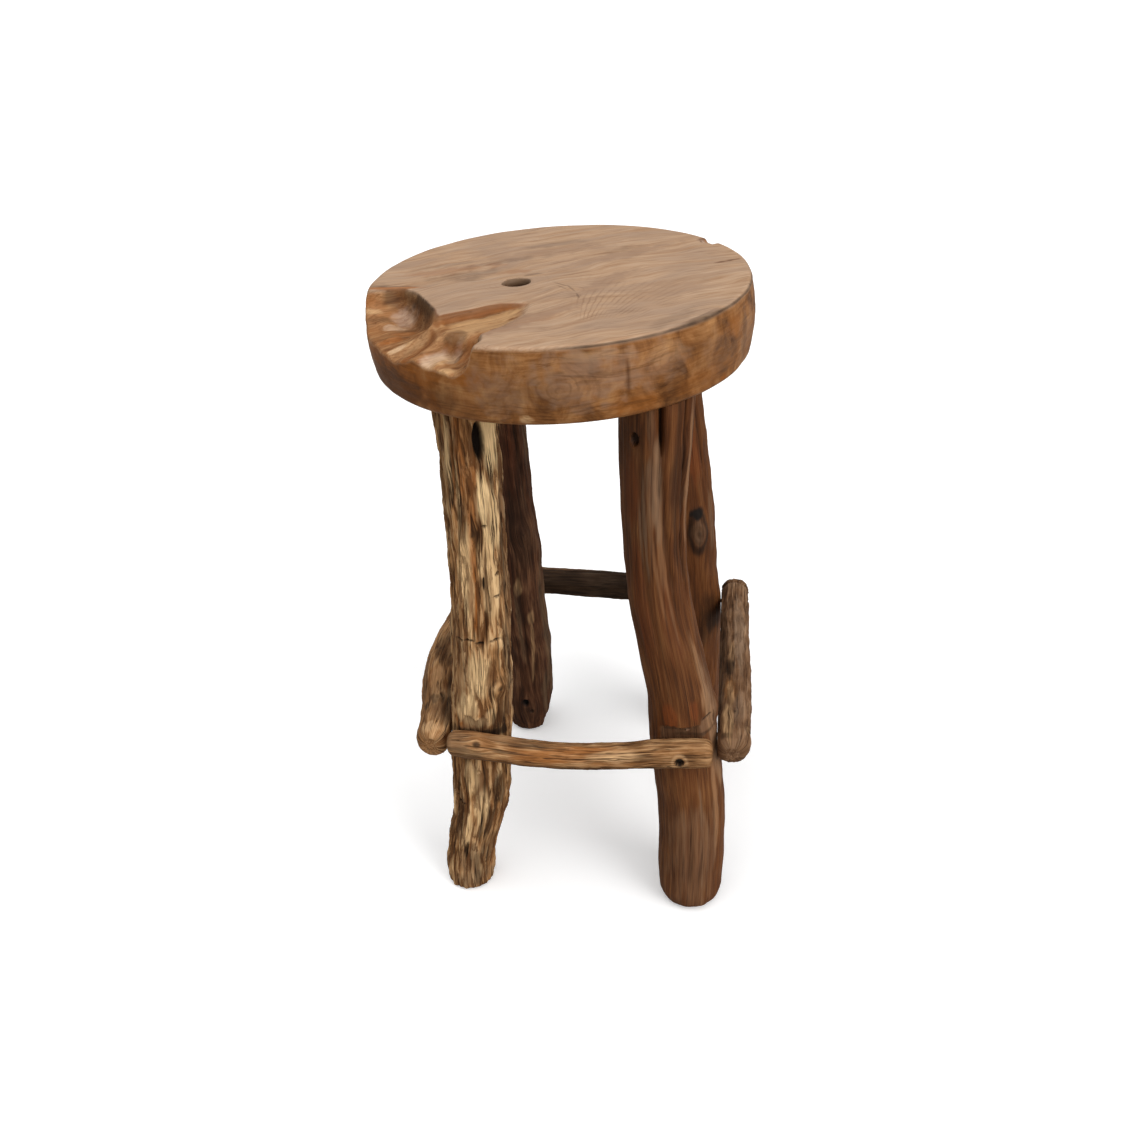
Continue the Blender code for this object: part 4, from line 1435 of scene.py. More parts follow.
    def break_rim(self, depth: Array, x: Array, y: Array, warp: list[Array]) -> Array:
        """Ends the big hollow along a line, and steps its pocket down.

        Args:
            depth: Depths so far.
            x: Places across.
            y: Places from front to back.
            warp: Noise that makes edges ragged.

        Returns:
            The new depths.
        """
        line_x, line_y, facing = self.rim_line
        inward = math.radians(facing)
        inside = (x - line_x) * math.cos(inward) + (y - line_y) * math.sin(inward)
        depth = depth * (1 - (1 - ease(-0.001, self.rim_slope, inside + 0.5 * warp[0])) * ease(-0.112, -0.100, y))
        angle = math.radians(self.pocket_lean)
        dx, dy = x - self.pocket_place[0], y - self.pocket_place[1]
        away = np.hypot(
            (dx * math.cos(angle) + dy * math.sin(angle)) / self.pocket_size[0],
            (dy * math.cos(angle) - dx * math.sin(angle)) / self.pocket_size[1],
        )
        depth = depth + self.pocket_step * ease(0.0003, 0.0030, depth) * (1 - ease(0.5, 1.1, away))
        inner = bell((self.rim - np.hypot(x, y)) / -0.02 + 1.5)
        return depth * (1 + 0.7 * inner * np.exp(-depth / 0.008))

    def lay_tongue(self, depth: Array, x: Array, y: Array, warp: list[Array]) -> Array:
        """Lays the shallow tongue that runs from the hollow across the top.

        Args:
            depth: Depths so far.
            x: Places across.
            y: Places from front to back.
            warp: Noise that makes edges ragged.

        Returns:
            The new depths.
        """
        along = x * math.cos(self.tongue_turn) + y * math.sin(self.tongue_turn) + warp[0]
        beside = x * math.sin(self.tongue_turn) - y * math.cos(self.tongue_turn) + 0.4 * warp[1]
        places, backs, widths, depths = zip(*self.tongue)
        back, width, drop = (np.interp(along, places, values) for values in (backs, widths, depths))
        share = np.clip((beside - back) / width, 0, 1)
        floor = 0.9 * drop * ease(-0.0022, 0.0040, beside - back) * (1 - share**2.0)
        tongue = ease(-0.136, -0.124, y) * ease(-0.126, -0.115, along)
        return depth + tongue * (floor - depth)

    @staticmethod
    def soften(depth: Array, passes: int) -> Array:
        """Evens out the grid's depths with their neighbours'.

        Args:
            depth: Depths by row and column.
            passes: How often to even them out.

        Returns:
            The softened depths.
        """
        for _ in range(passes):
            rows = np.pad(depth, ((1, 1), (0, 0)), "edge")
            depth = 0.5 * depth + 0.25 * (rows[:-2] + rows[2:])
            depth = 0.5 * depth + 0.25 * (np.roll(depth, 1, 1) + np.roll(depth, -1, 1))
        return depth

    def fan(self, x: Array, y: Array) -> tuple[Array, Array]:
        """Distance and direction from the inner corner of the hollow."""
        dx, dy = x - self.fan_middle[0], y - self.fan_middle[1]
        return np.hypot(dx, dy), np.arctan2(dy, dx)

    def grid(self) -> Array:
        """Lays the grid over the top, round the edge and under the slab.

        Returns:
            Places by row, column and axis.
        """
        lost = self.hollow[-1]
        curve = self.top_round + (self.worn_round - self.top_round) * ease(0.0005, 0.005, lost)
        lip = self.top - lost
        slope = (lost - self.hollow[-4]) / ((self.shares[-1] - self.shares[-4]) * self.rim)
        slope = np.clip(slope, 0, 1.2) * ease(0.0005, 0.005, lost)
        rim = np.interp(lip - curve * (1 + slope), self.heights, self.walls)
        self.reach = rim - curve
        radii = [self.shares[k] * self.reach for k in range(self.top_rows)]
        levels = [self.top - self.hollow[k] for k in range(self.top_rows)]
        for share in np.linspace(0, 1, self.round_rows)[1:]:
            radii.append(rim - curve * (1 - share) ** 2)
            levels.append(lip - curve * (2 * share * (1 - share) * slope + share**2 * (1 + slope)))
        for share in np.linspace(0, 1, self.wall_rows)[1:]:
            level = (lip - curve * (1 + slope)) * (1 - share) + (self.base + self.base_round) * share
            radii.append(np.interp(level, self.heights, self.walls))
            levels.append(level)
        last = radii[-1]
        for step in np.linspace(0, np.pi / 2, self.round_rows)[1:]:
            radii.append(last - self.base_round * (1 - math.cos(step)))
            levels.append(np.full(lost.shape, self.base + self.base_round * (1 - math.sin(step))))
        last = radii[-1]
        for share in np.linspace(1, 0, self.base_rows)[1:]:
            radii.append(last * share)
            levels.append(np.full(lost.shape, self.base))
        radii, levels = np.array(radii), np.array(levels)
        points = np.stack([radii * np.cos(self.bearings), radii * np.sin(self.bearings), levels], -1)
        side = ease(self.rim - 0.02, self.rim, radii) * ease(self.base, self.base + 0.004, levels)
        wave = 0.0008 * self.noise(points / 0.035) + 0.0004 * self.noise(points / np.array([0.02, 0.02, 0.006]) + 7)
        points[..., :2] *= (1 + wave * side / np.maximum(radii, 0.01))[..., None]
        worn = ease(0.0, 0.03, self.top - levels) * (radii < self.rim - 0.003)
        swell = 0.0003 * self.noise(points / 0.03 + 50)
        points[..., 2] += swell * ease(self.base + 0.02, self.top, levels) * (1 - worn)
        points[-1], points[0] = points[-1].mean(0), points[0].mean(0)
        return points

    def bore(self, obj: bpy.types.Object) -> None:
        """Cuts the knot hole and the dowel sockets.

        Args:
            obj: The seat's object.
        """
        bm = bmesh.new()
        radius, flare, floor = self.hole_radius, self.hole_flare, self.top - self.hole_depth
        mouth, above = radius + flare * 1.6, self.top + 0.004
        profile = [
            (0.0, floor), (radius * 0.72, floor), (radius * 0.86, self.top - self.hole_depth * 0.6),
            (radius * 0.93, self.top - 0.010), (radius, self.top - flare * 1.6),
            (radius + flare * 0.5, self.top - flare * 0.5), (mouth, self.top + 0.0006), (mouth, above), (0.0, above),
        ]
        verts = [bm.verts.new((r, 0, z)) for r, z in profile]
        edges = [bm.edges.new(pair) for pair in zip(verts, verts[1:])]
        bmesh.ops.spin(
            bm, geom=verts + edges, cent=(0, 0, 0), axis=(0, 0, 1), angle=2 * math.pi, steps=64, use_merge=False,
        )
        bmesh.ops.remove_doubles(bm, verts=bm.verts, dist=1e-5)
        for vert in bm.verts:
            wobble = self.noise(np.array([vert.co.x / 0.012, vert.co.y / 0.012, vert.co.z / 0.04]))
            grow = 1 + 0.05 * float(wobble)
            vert.co = (self.hole_place[0] + vert.co.x * grow, self.hole_place[1] + vert.co.y * grow, vert.co.z)
        for dowel in self.dowels:
            low, high = (Vector(c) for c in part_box(dowel))
            middle = (low + high) / 2
            height = 2 * (high.z + self.socket_gap - self.base)
            place = Matrix.Translation((middle.x, middle.y, self.base))
            size = (high.x - low.x) / 2 + self.socket_gap
            bmesh.ops.create_cone(
                bm, cap_ends=True, segments=48, radius1=size, radius2=size, depth=height, matrix=place,
            )
        bmesh.ops.recalc_face_normals(bm, faces=bm.faces)
        mesh = to_mesh("cutter", bm)
        cutter = show("cutter", mesh)
        modifier = obj.modifiers.new("bore", "BOOLEAN")
        modifier.operation, modifier.solver, modifier.object = "DIFFERENCE", "EXACT", cutter
        graph = bpy.context.evaluated_depsgraph_get()
        cut = bpy.data.meshes.new_from_object(obj.evaluated_get(graph))
        obj.modifiers.clear()
        old, obj.data = obj.data, cut
        bpy.data.meshes.remove(old)
        bpy.data.objects.remove(cutter)
        bpy.data.meshes.remove(mesh)

    def depth_at(self, x: Array, y: Array) -> Array:
        """Depth of the hollows at some places, read from the grid.

        Args:
            x: Places across.
            y: Places from front to back.

        Returns:
            Depths below the top.
        """
        bearing, first = np.arctan2(y, x) % (2 * np.pi), self.bearings[0]
        column = np.interp((bearing - first) % (2 * np.pi), self.bearings - first, np.arange(len(self.bearings)))
        reach = np.interp(column, np.arange(len(self.reach)), self.reach)
        row = np.interp(np.hypot(x, y) / reach, self.shares, np.arange(self.top_rows))
        near, left = row.astype(int), column.astype(int)
        far, right = np.minimum(near + 1, self.top_rows - 1), (left + 1) % len(self.bearings)
        up, over = row - near, column - left
        inner = self.hollow[near, left] * (1 - over) + self.hollow[near, right] * over
        outer = self.hollow[far, left] * (1 - over) + self.hollow[far, right] * over
        return inner * (1 - up) + outer * up

    @staticmethod
    def daub(
        marks: Array, daubs: tuple[Stain, ...], across: Callable[[float], Array], up: Array, mask: Array, fray: Array,
    ) -> None:
        """Paints patches of colour on the top or on the edge, painted shade and painted highlights among them.

        Args:
            marks: The marks to add to.
            daubs: The stains.
            across: Gives how far each vertex lies from a stain's middle, across the face.
            up: How far up the face each vertex lies.
            mask: Where the face is.
            fray: Noise that frays the stains' edges.
        """
        for daub in daubs:
            angle = math.radians(daub.lean)
            dx, dy = across(daub.x), up - daub.y
            along = dx * math.cos(angle) + dy * math.sin(angle)
            beside = -dx * math.sin(angle) + dy * math.cos(angle)
            away = np.hypot(along / daub.half_length, beside / daub.half_width) + daub.fray * fray
            amount = daub.strength * (1 - ease(0.5, 1.1, away)) * mask
            marks[:, daub.kind.value] = np.maximum(marks[:, daub.kind.value], amount)

    def figure(self, points: Array, edge: Array, worn: Array) -> tuple[Array, Array, Array]:
        """Lays out the run of the grain and the rings of its swirls.

        Args:
            points: The seat's vertices.
            edge: Where the edge is.
            worn: Where the hollows are.

        Returns:
            Places in the top's grain and in the edge's, and the rings' distance, strength and wear.
        """
        x, y, z = points.T
        angle = math.radians(self.grain_bearing)
        along, across = x * math.cos(angle) + y * math.sin(angle), -x * math.sin(angle) + y * math.cos(angle)
        flat = np.stack([x, y, 0 * x], -1)
        across = across + 0.35 * along**2 + 0.010 * self.noise(flat / 0.07 + 5) + 0.002 * self.noise(flat / 0.02 + 6)
        ring, drawn = np.zeros(len(x)), np.zeros(len(x))
        for swirl in TOP_SWIRLS:
            dx, dy = x - swirl.x, y - swirl.y
            away, facing = np.hypot(dx, dy), np.arctan2(dy, dx)
            beside = -dx * math.sin(angle) + dy * math.cos(angle)
            across = across - swirl.push * beside * bell(away / swirl.reach)
            turned, limit = np.abs(turn(facing, math.radians(swirl.facing))), math.radians(swirl.spread)
            sector = 1 - ease(limit * 0.7, limit * 1.05 + 0.01, turned)
            amount = swirl.rings * bell(away / swirl.reach) ** 0.5 * sector * ((1 - edge) * (1 - worn))
            steps = away
            if swirl.fans:
                steps = (facing + 1.5 * away) * 0.105
                amount = amount * ease(0.22, 0.42, away / swirl.reach)
            ring, drawn = np.where(amount > drawn, steps, ring), np.maximum(amount, drawn)
        lift, bearing = z.copy(), np.arctan2(y, x) % (2 * np.pi)
        for swirl in EDGE_SWIRLS:
            dx, dy = turn(bearing, math.radians(swirl.x)) * self.rim, z - swirl.y
            away = np.hypot(dx * 0.7, dy)
            lift = lift - swirl.push * dy * bell(away / swirl.reach)
            amount = swirl.rings * bell(away / swirl.reach) ** 0.7 * edge
            ring, drawn = np.where(amount > drawn, away, ring), np.maximum(amount, drawn)
        narrow, long = self.finish.edge_grain
        on_top, on_edge = np.stack([across, z, along], -1), np.stack([lift, x * narrow / long, y], -1)
        return on_top, on_edge, np.stack([ring, drawn, worn], -1)

    def paint_marks_and_shade(self, points: Array, on_top: Array, depth: Array, edge: Array, worn: Array) -> Array:
        """Paints the patches, a painted shade line along the lip, painted shade at the hollows' brims, on the tongue's
        steep back and inside the knot hole, and the hollows' floors darker in dips and paler on rises.

        Args:
            points: The seat's vertices.
            on_top: Places in the top's grain.
            depth: Depths of the hollows.
            edge: Where the edge is.
            worn: Where the hollows are.

        Returns:
            The marks, one column for each kind.
        """
        x, y, z = points.T
        radius, bearing = np.hypot(x, y), np.arctan2(y, x) % (2 * np.pi)
        marks = np.zeros((len(x), len(Mark)))
        fray = self.noise.layers(points / 0.012 + 90, 3)
        # The upper part of the hollows, where the pocket's painted shade goes
        high = ease(0.0001, 0.0012, depth) * (1 - ease(0.007, 0.026, depth + 0.003 * fray)) * (1 - edge)
        for daubs, mask in ((TOP_STAINS_AND_SHEEN, 1 - edge), (HOLLOW_STAINS_AND_GLINTS, worn), (POCKET_SHADE, high)):
            self.daub(marks, daubs, lambda middle: x - middle, y, mask, fray)
        self.daub(marks, EDGE_STAINS_SHADE_AND_HIGHLIGHT, lambda middle: turn(bearing, math.radians(middle)) * self.rim, z, edge, fray)
        dark, pale, warm, grey = marks.T

        # A painted shade line along the top edge of the front rim, thickest round one bearing
        aside = np.abs(turn(bearing, math.radians(self.lip_shade_bearing)))
        thick = 0.0016 + 0.0020 * bell(aside / math.radians(14))
        lip = bell(np.abs(self.top - depth - z - 0.0018) / thick)
        lip = lip * (1 - ease(math.radians(36), math.radians(52), aside))
        lip = lip * (depth < 0.001) * (radius > self.rim - 0.006)
        dark = np.maximum(dark, lip * np.clip(0.80 + 0.15 * fray, 0, 0.95))

        step = self.slope_step
        steep_x = (self.depth_at(x + step, y) - self.depth_at(x - step, y)) / (2 * step)
        steep_y = (self.depth_at(x, y + step) - self.depth_at(x, y - step)) / (2 * step)
        steep = np.hypot(steep_x, steep_y)
        # Painted shade just below the steep brims of the hollows, lighter in the tongue
        brim_shade = bell(np.abs(depth - 0.0012) / 0.0014) * ease(0.2, 0.6, steep) * (1 - edge)
        tongue = ease(-0.130, -0.120, y) * ease(-0.106, -0.092, x)
        dark = np.maximum(dark, brim_shade * np.clip(0.38 + 0.3 * fray, 0, 0.6) * (1 - 0.7 * tongue))
        # The tongue's steep back: painted shade, its own orange, and the pale taken off
        wall = ease(0.25, 0.8, steep) * (steep_y < 0) * tongue * (1 - edge)
        dark = np.maximum(dark, wall * np.clip(0.46 - 50 * depth, 0.20, 0.46))
        warm = np.maximum(warm, 0.85 * wall)
        pale = pale * (1 - wall)

        # The hollows' floors darker in their dips and paler on their rises
        around = [self.depth_at(x + dx, y + dy) for dx, dy in self.relief_reach * np.array(COMPASS)]
        relief = (depth - np.mean(around, axis=0)) / 0.0015 * worn * (radius < self.rim - 0.008)
        dark = np.maximum(dark, np.clip(0.28 * relief, 0, 0.40))
        pale = np.maximum(pale, np.clip(-0.28 * relief, 0, 0.32))
        flat = np.stack([x, y, 0 * x], -1)
        ridges = 0.7 * self.noise(on_top / np.array([0.006, 0.02, 0.05]) + 60) + 0.4 * self.noise(flat / 0.010 + 70)
        pale = np.maximum(pale, worn * np.clip(0.30 * ridges, 0, 0.25))
        warm = np.maximum(warm, worn * np.clip(0.10 - 0.35 * ridges, 0, 0.35))

        # Painted shade inside the knot hole, darker with depth
        hole = np.hypot(x - self.hole_place[0], y - self.hole_place[1]) < self.hole_radius * 1.5
        hole = hole & (z > self.top - self.hole_depth - 0.001)
        hole_shade = 0.86 * ease(0.0003, 0.002, self.top - z) + 0.13 * ease(0.004, 0.018, self.top - z)
        dark = np.maximum(dark, np.where(hole, hole_shade, 0))
        return np.stack([dark, pale, warm, grey], -1)

    def colour(self, mesh: bpy.types.Mesh) -> None:
        """Stores the figure, the rings, and the marks with their painted shade and highlights.

        Args:
            mesh: The seat's mesh.
        """
        points = np.empty(len(mesh.vertices) * 3, np.float32)
        mesh.vertices.foreach_get("co", points)
        points = points.reshape(-1, 3).astype(float)
        depth = self.depth_at(points[:, 0], points[:, 1])
        edge = ease(0.0012, 0.0045, self.top - depth - points[:, 2])
        worn = ease(0.0008, 0.0042, depth) * (1 - edge)
        on_top, on_edge, rings = self.figure(points, edge, worn)
        marks = self.paint_marks_and_shade(points, on_top, depth, edge, worn)
        layers = {"grain": on_top, "side_grain": on_edge, "edge": edge[:, None], "rings": rings, "marks": marks}
        for name, values in layers.items():
            store(mesh, name, values)

    def build(self) -> bpy.types.Object:
        """Builds and dresses the seat.

        Returns:
            The finished piece, riding on the stool.
        """
        self.measure()
        obj = wrap_skin(self.node + "_skin", self.grid(), {})
        self.bore(obj)
        self.colour(obj.data)
        smooth_shading(obj.data, 50)
        finish_piece(obj, self.node, self.finish.material())
        return obj


@dataclass(frozen=True)
class Studio:
    """Camera, floor and soft light."""

    eye: tuple[float, float, float] = (0.1565, -1.0192, 0.9734)
    azimuth: float = 9.184
    elevation: float = 32.073
    roll: float = 4.067
    focal: float = 1120.0
    picture: float = 1140.0
    sensor: float = 36.0
    floor_size: float = 60.0
    floor_dull: Colour = (0.92, 0.92, 0.92)
    floor_bright: Colour = (0.95, 0.95, 0.95)
    bounce: Colour = (0.40, 0.37, 0.33)
    suns: tuple[tuple[float, float, float, float, float], ...] = (
        (0.70, -0.46, 0.54, 1.6, 36.0),
        (-0.22, -0.12, 0.95, 1.9, 80.0),
        (0.62, -0.77, 0.14, 1.2, 50.0),
    )
    sky: float = 0.25
    lift: float = 0.22

    def camera(self) -> None:
        """Puts the camera at the photograph's view."""
        turn_by, lift, roll = (math.radians(v) for v in (self.azimuth, self.elevation, self.roll))
        back = Vector((math.sin(turn_by) * math.cos(lift), -math.cos(turn_by) * math.cos(lift), math.sin(lift)))
        right = Vector((math.cos(turn_by), math.sin(turn_by), 0))
        over = back.cross(right)
        across = right * math.cos(roll) - over * math.sin(roll)
        upright = right * math.sin(roll) + over * math.cos(roll)
        data = bpy.data.cameras.new("camera")
        data.sensor_fit = "HORIZONTAL"
        data.sensor_width = self.sensor
        data.lens = self.sensor * self.focal / self.picture
        camera = show("camera", data)
        matrix = Matrix((across, upright, back)).transposed().to_4x4()
        matrix.translation = Vector(self.eye)
        camera.matrix_world = matrix
        bpy.context.scene.camera = camera

    def floor(self) -> None:
        """Lays the pale floor."""
        bm = bmesh.new()
        bmesh.ops.create_grid(bm, x_segments=2, y_segments=2, size=self.floor_size / 2)
        floor = show("floor", to_mesh("floor", bm))
        material, shader, graph = start_material("pale_floor")
        cloud = graph.noise(graph.add("ShaderNodeTexCoord").outputs["Object"], 3.0, 2.0)
        pale = graph.ramp(cloud, [(0.3, self.floor_dull), (0.7, self.floor_bright)])
        seen = graph.add("ShaderNodeLightPath").outputs["Is Camera Ray"]
        graph.feed(shader.inputs["Base Color"], graph.mix(seen, self.bounce, pale))
        shader.inputs["Emission Color"].default_value = (1, 1, 1, 1)
        graph.feed(shader.inputs["Emission Strength"], graph.times(seen, self.lift))
        shader.inputs["Roughness"].default_value = 0.9
        shader.inputs["Specular IOR Level"].default_value = 0.1
        floor.data.materials.append(material)

    def light(self) -> None:
        """Lights the studio softly from the right and from above."""
        for number, (x, y, z, strength, width) in enumerate(self.suns):
            sun = bpy.data.lights.new("soft_sun_%d" % number, "SUN")
            sun.energy = strength
            sun.angle = math.radians(width)
            lamp = show(sun.name, sun)
            lamp.location = Vector((x, y, z)) * 3
            lamp.rotation_euler = (-lamp.location).to_track_quat("-Z", "Y").to_euler()
        world = bpy.data.worlds.new("studio")
        world.use_nodes = True
        graph = Graph(world.node_tree)
        backdrop = world.node_tree.nodes["Background"]
        backdrop.inputs["Color"].default_value = (1, 1, 1, 1)
        seen = graph.add("ShaderNodeLightPath").outputs["Is Camera Ray"]
        graph.feed(backdrop.inputs["Strength"], graph.span(seen, 0.0, 1.0, self.sky, 1.0))
        bpy.context.scene.world = world
        bpy.context.scene.view_settings.view_transform = "Standard"

    def set_up(self) -> None:
        """Sets up the whole studio."""
        self.camera()
        self.floor()
        self.light()


# The stool's pieces


def front_left_leg() -> Leg:
    """The pale fissured leg with a dark hollow near its top.

    Returns:
        The leg, not yet built.
    """
    return Leg(
        node="leg_front_left", finish=PALE_BARK, slot="pale_bark", seed=11, sides=188, spacing=0.00122, twist=0.7,
        roughness=Roughness(
            (-0.0013, 0.0075, 0.050), (-0.0007, 0.0030, 0.020), (0.0006, 0.010, 0.022), (0.0008, 0.030),
        ),
        ragged=0.009,
        patches=(
            # The strip at bearing 330 near the top is pale wood, painted brighter to lift the seat's shadow: partly
            # painted light.
            *Patch.rows(
                Mark.PALE,
                (330, 0.552, 0.013, 0.062, 1.0), (303, 0.484, 0.009, 0.03, 0.85), (318, 0.46, 0.01, 0.05, 0.62),
                (306, 0.4, 0.012, 0.06, 0.4), (256, 0.4, 0.01, 0.06, 0.45), (237, 0.53, 0.0045, 0.05, 0.65, 4),
                (252, 0.49, 0.0032, 0.06, 0.55, 4), (274, 0.29, 0.015, 0.034, 0.6), (254, 0.255, 0.015, 0.018, 0.6),
                (262, 0.165, 0.01, 0.024, 0.45), (284, 0.13, 0.01, 0.03, 0.45), (258, 0.09, 0.009, 0.024, 0.4),
                (236, 0.244, 0.006, 0.01, 0.55), (255, 0.238, 0.007, 0.012, 0.6), (275, 0.235, 0.008, 0.011, 0.65),
                (296, 0.241, 0.006, 0.012, 0.55),
            ),
            *Patch.rows(
                Mark.WARM,
                (271, 0.388, 0.005, 0.062, 1.0), (284, 0.5, 0.006, 0.05, 0.55, 20), (258, 0.52, 0.014, 0.06, 0.6, 10),
                (262, 0.237, 0.026, 0.012, 0.75),
            ),
            # The long dark patch at bearing 222 is partly painted shade on the leg's shaded left side.
            *Patch.rows(
                Mark.DARK,
                (246, 0.54, 0.006, 0.05, 0.45, 6), (262, 0.47, 0.004, 0.03, 0.45, 14), (222, 0.5, 0.008, 0.08, 0.35),
                (344, 0.42, 0.004, 0.11, 0.45), (340, 0.3, 0.006, 0.06, 0.4), (319, 0.143, 0.01, 0.024, 0.65),
                (304, 0.1, 0.005, 0.03, 0.5), (322, 0.06, 0.01, 0.03, 0.45), (285, 0.2195, 0.036, 0.008, 0.85),
                (252, 0.221, 0.02, 0.0075, 0.75), (314, 0.235, 0.007, 0.017, 0.55), (326, 0.245, 0.012, 0.026, 0.4),
                (232, 0.11, 0.007, 0.05, 0.5), (300, 0.04, 0.009, 0.036, 0.45),
            ),
            *Patch.rows(
                Mark.GREY,
                (352, 0.37, 0.009, 0.19, 0.8), (268, 0.045, 0.022, 0.03, 0.6), (225, 0.3, 0.016, 0.07, 0.5),
                (280, 0.02, 0.03, 0.016, 0.7),
            ),
        ),
        knots=(
            Knot(275, 0.448, 0.008, 0.012, 0.0018, 2.0, 0.75), Knot(315, 0.274, 0.011, 0.013, 0.0042, 2.4, 1.0, 0.4),
            Knot(70, 0.36, 0.01, 0.014, 0.0022, 2.5, 0.6),
        ),
        clefts=(
            Cleft(((300, 0.44), (296, 0.38), (290, 0.3)), 0.0025, 0.0022, 0.5),
            Cleft(((246, 0.57), (250, 0.48), (240, 0.4)), 0.003, 0.0024, 0.5),
            Cleft(((345, 0.56), (350, 0.44), (345, 0.3)), 0.003, 0.0026, 0.5),
            Cleft(((288, 0.175), (284, 0.12), (292, 0.05)), 0.0028, 0.003, 0.6),
            Cleft(((206, 0.137), (228, 0.131), (248, 0.125)), 0.004, 0.003, 0.9),
            Cleft(((100, 0.54), (110, 0.4), (95, 0.25)), 0.0035, 0.003, 0.6),
            Cleft(((30, 0.5), (40, 0.33)), 0.003, 0.0028, 0.6),
        ),
        pits=(
            Pit(304, 0.5385, 0.0062, 0.0215, 0.0095), Pit(292, 0.395, 0.0016, 0.009, 0.0035),
            Pit(232, 0.331, 0.005, 0.0016, 0.003, 0.9), Pit(256, 0.333, 0.006, 0.0013, 0.002, 0.8),
            Pit(278, 0.33, 0.005, 0.0018, 0.003, 0.9), Pit(309, 0.331, 0.006, 0.0018, 0.003, 0.9),
            Pit(300, 0.455, 0.003, 0.0014, 0.0025, 0.8), Pit(322, 0.402, 0.003, 0.0022, 0.003, 0.9),
            Pit(318, 0.378, 0.004, 0.0016, 0.0025, 0.8), Pit(225, 0.132, 0.0022, 0.022, 0.0045, 0.9),
            Pit(262, 0.062, 0.002, 0.016, 0.0035, 0.8),
        ),
    )


def front_right_leg() -> Leg:
    """The smooth reddish leg with long flutes and clefts near its top.

    Returns:
        The leg, not yet built.
    """
    return Leg(
        node="leg_front_right", finish=RED_HEARTWOOD, slot="red_heartwood",
        seed=23, sides=184, spacing=0.00122, twist=-0.5,
        roughness=Roughness((0.0007, 0.016, 0.180), (0.0003, 0.005, 0.060), (0.0, 0.012, 0.03), (0.0009, 0.035)),
        ragged=0.004,
        patches=(
            # The leaning pale streaks at bearings 266 to 290, high up, are painted sheen on the lit side of the left
            # stem.
            *Patch.rows(
                Mark.PALE,
                (325, 0.299, 0.005, 0.05, 0.5), (334, 0.2, 0.006, 0.06, 0.5), (319, 0.14, 0.004, 0.07, 0.45),
                (281, 0.465, 0.004, 0.085, 0.28, -10), (290, 0.43, 0.0024, 0.09, 0.25, -8),
                (346, 0.5, 0.004, 0.09, 0.5), (272, 0.44, 0.0026, 0.08, 0.2, -14),
                (266, 0.48, 0.002, 0.06, 0.22, -10), (328, 0.262, 0.009, 0.046, 0.7),
            ),
            # The grey streak at bearing 277, height 0.495, is painted sheen as well.
            *Patch.rows(
                Mark.GREY,
                (259, 0.462, 0.0022, 0.06, 0.8, -6), (252, 0.45, 0.0016, 0.045, 0.6, -6),
                (268, 0.56, 0.004, 0.03, 0.4), (290, 0.11, 0.0024, 0.08, 0.6), (300, 0.09, 0.002, 0.06, 0.5),
                (262, 0.09, 0.0024, 0.07, 0.5), (275, 0.08, 0.03, 0.08, 0.35), (335, 0.24, 0.012, 0.08, 0.6),
                (277, 0.495, 0.008, 0.055, 0.75, -8), (296, 0.2385, 0.034, 0.0075, 0.55),
                (330, 0.245, 0.016, 0.01, 0.65),
            ),
            *Patch.rows(
                Mark.WARM,
                (256, 0.256, 0.008, 0.016, 0.7), (298, 0.262, 0.005, 0.014, 0.6), (289, 0.366, 0.01, 0.06, 0.2),
                (240, 0.38, 0.01, 0.09, 0.5), (235, 0.5, 0.01, 0.05, 0.5),
            ),
            # The thin dark line at bearing 300, height 0.2335, is a painted shadow just above the rail.
            *Patch.rows(
                Mark.DARK,
                (300, 0.2335, 0.034, 0.0022, 0.55), (240, 0.45, 0.02, 0.17, 0.32), (330, 0.5, 0.006, 0.06, 0.5),
                (281, 0.35, 0.014, 0.08, 0.15), (312, 0.505, 0.009, 0.075, 0.5), (337, 0.428, 0.005, 0.04, 0.5),
            ),
        ),
        knots=(
            Knot(60, 0.42, 0.01, 0.018, 0.0022, 2.5, 0.6), Knot(150, 0.3, 0.008, 0.012, 0.0018, 2.0, 0.5),
            Knot(2, 0.25, 0.016, 0.014, 0.0034, 0.0, 0.0),
        ),
        clefts=(
            Cleft(((282, 0.6), (283, 0.555), (284, 0.528)), 0.004, 0.0065, 0.9),
            Cleft(((283, 0.6), (285, 0.51), (296, 0.44), (304, 0.38), (312, 0.3)), 0.007, 0.0036, 0.35),
            Cleft(((330, 0.61), (329, 0.53), (331, 0.495), (336, 0.43), (342, 0.35)), 0.005, 0.0075, 0.9),
            Cleft(((312, 0.6), (313, 0.52), (318, 0.44), (322, 0.38)), 0.004, 0.0018, 0.45),
            Cleft(((250, 0.56), (254, 0.42), (262, 0.29)), 0.006, 0.0014, 0.12),
            Cleft(((275, 0.17), (270, 0.1), (268, 0.02)), 0.005, 0.0018, 0.2),
            Cleft(((80, 0.56), (90, 0.4), (84, 0.25)), 0.006, 0.003, 0.3),
            Cleft(((150, 0.54), (158, 0.38)), 0.005, 0.0026, 0.3),
        ),
        pits=(
            Pit(242, 0.547, 0.0048, 0.0074, 0.006, 0.8), Pit(252, 0.2395, 0.008, 0.0011, 0.0016, 0.6),
            Pit(280, 0.244, 0.007, 0.0011, 0.0016, 0.5), Pit(322, 0.25, 0.009, 0.0012, 0.002, 0.8),
            Pit(340, 0.243, 0.0014, 0.008, 0.002, 0.8),
        ),
    )


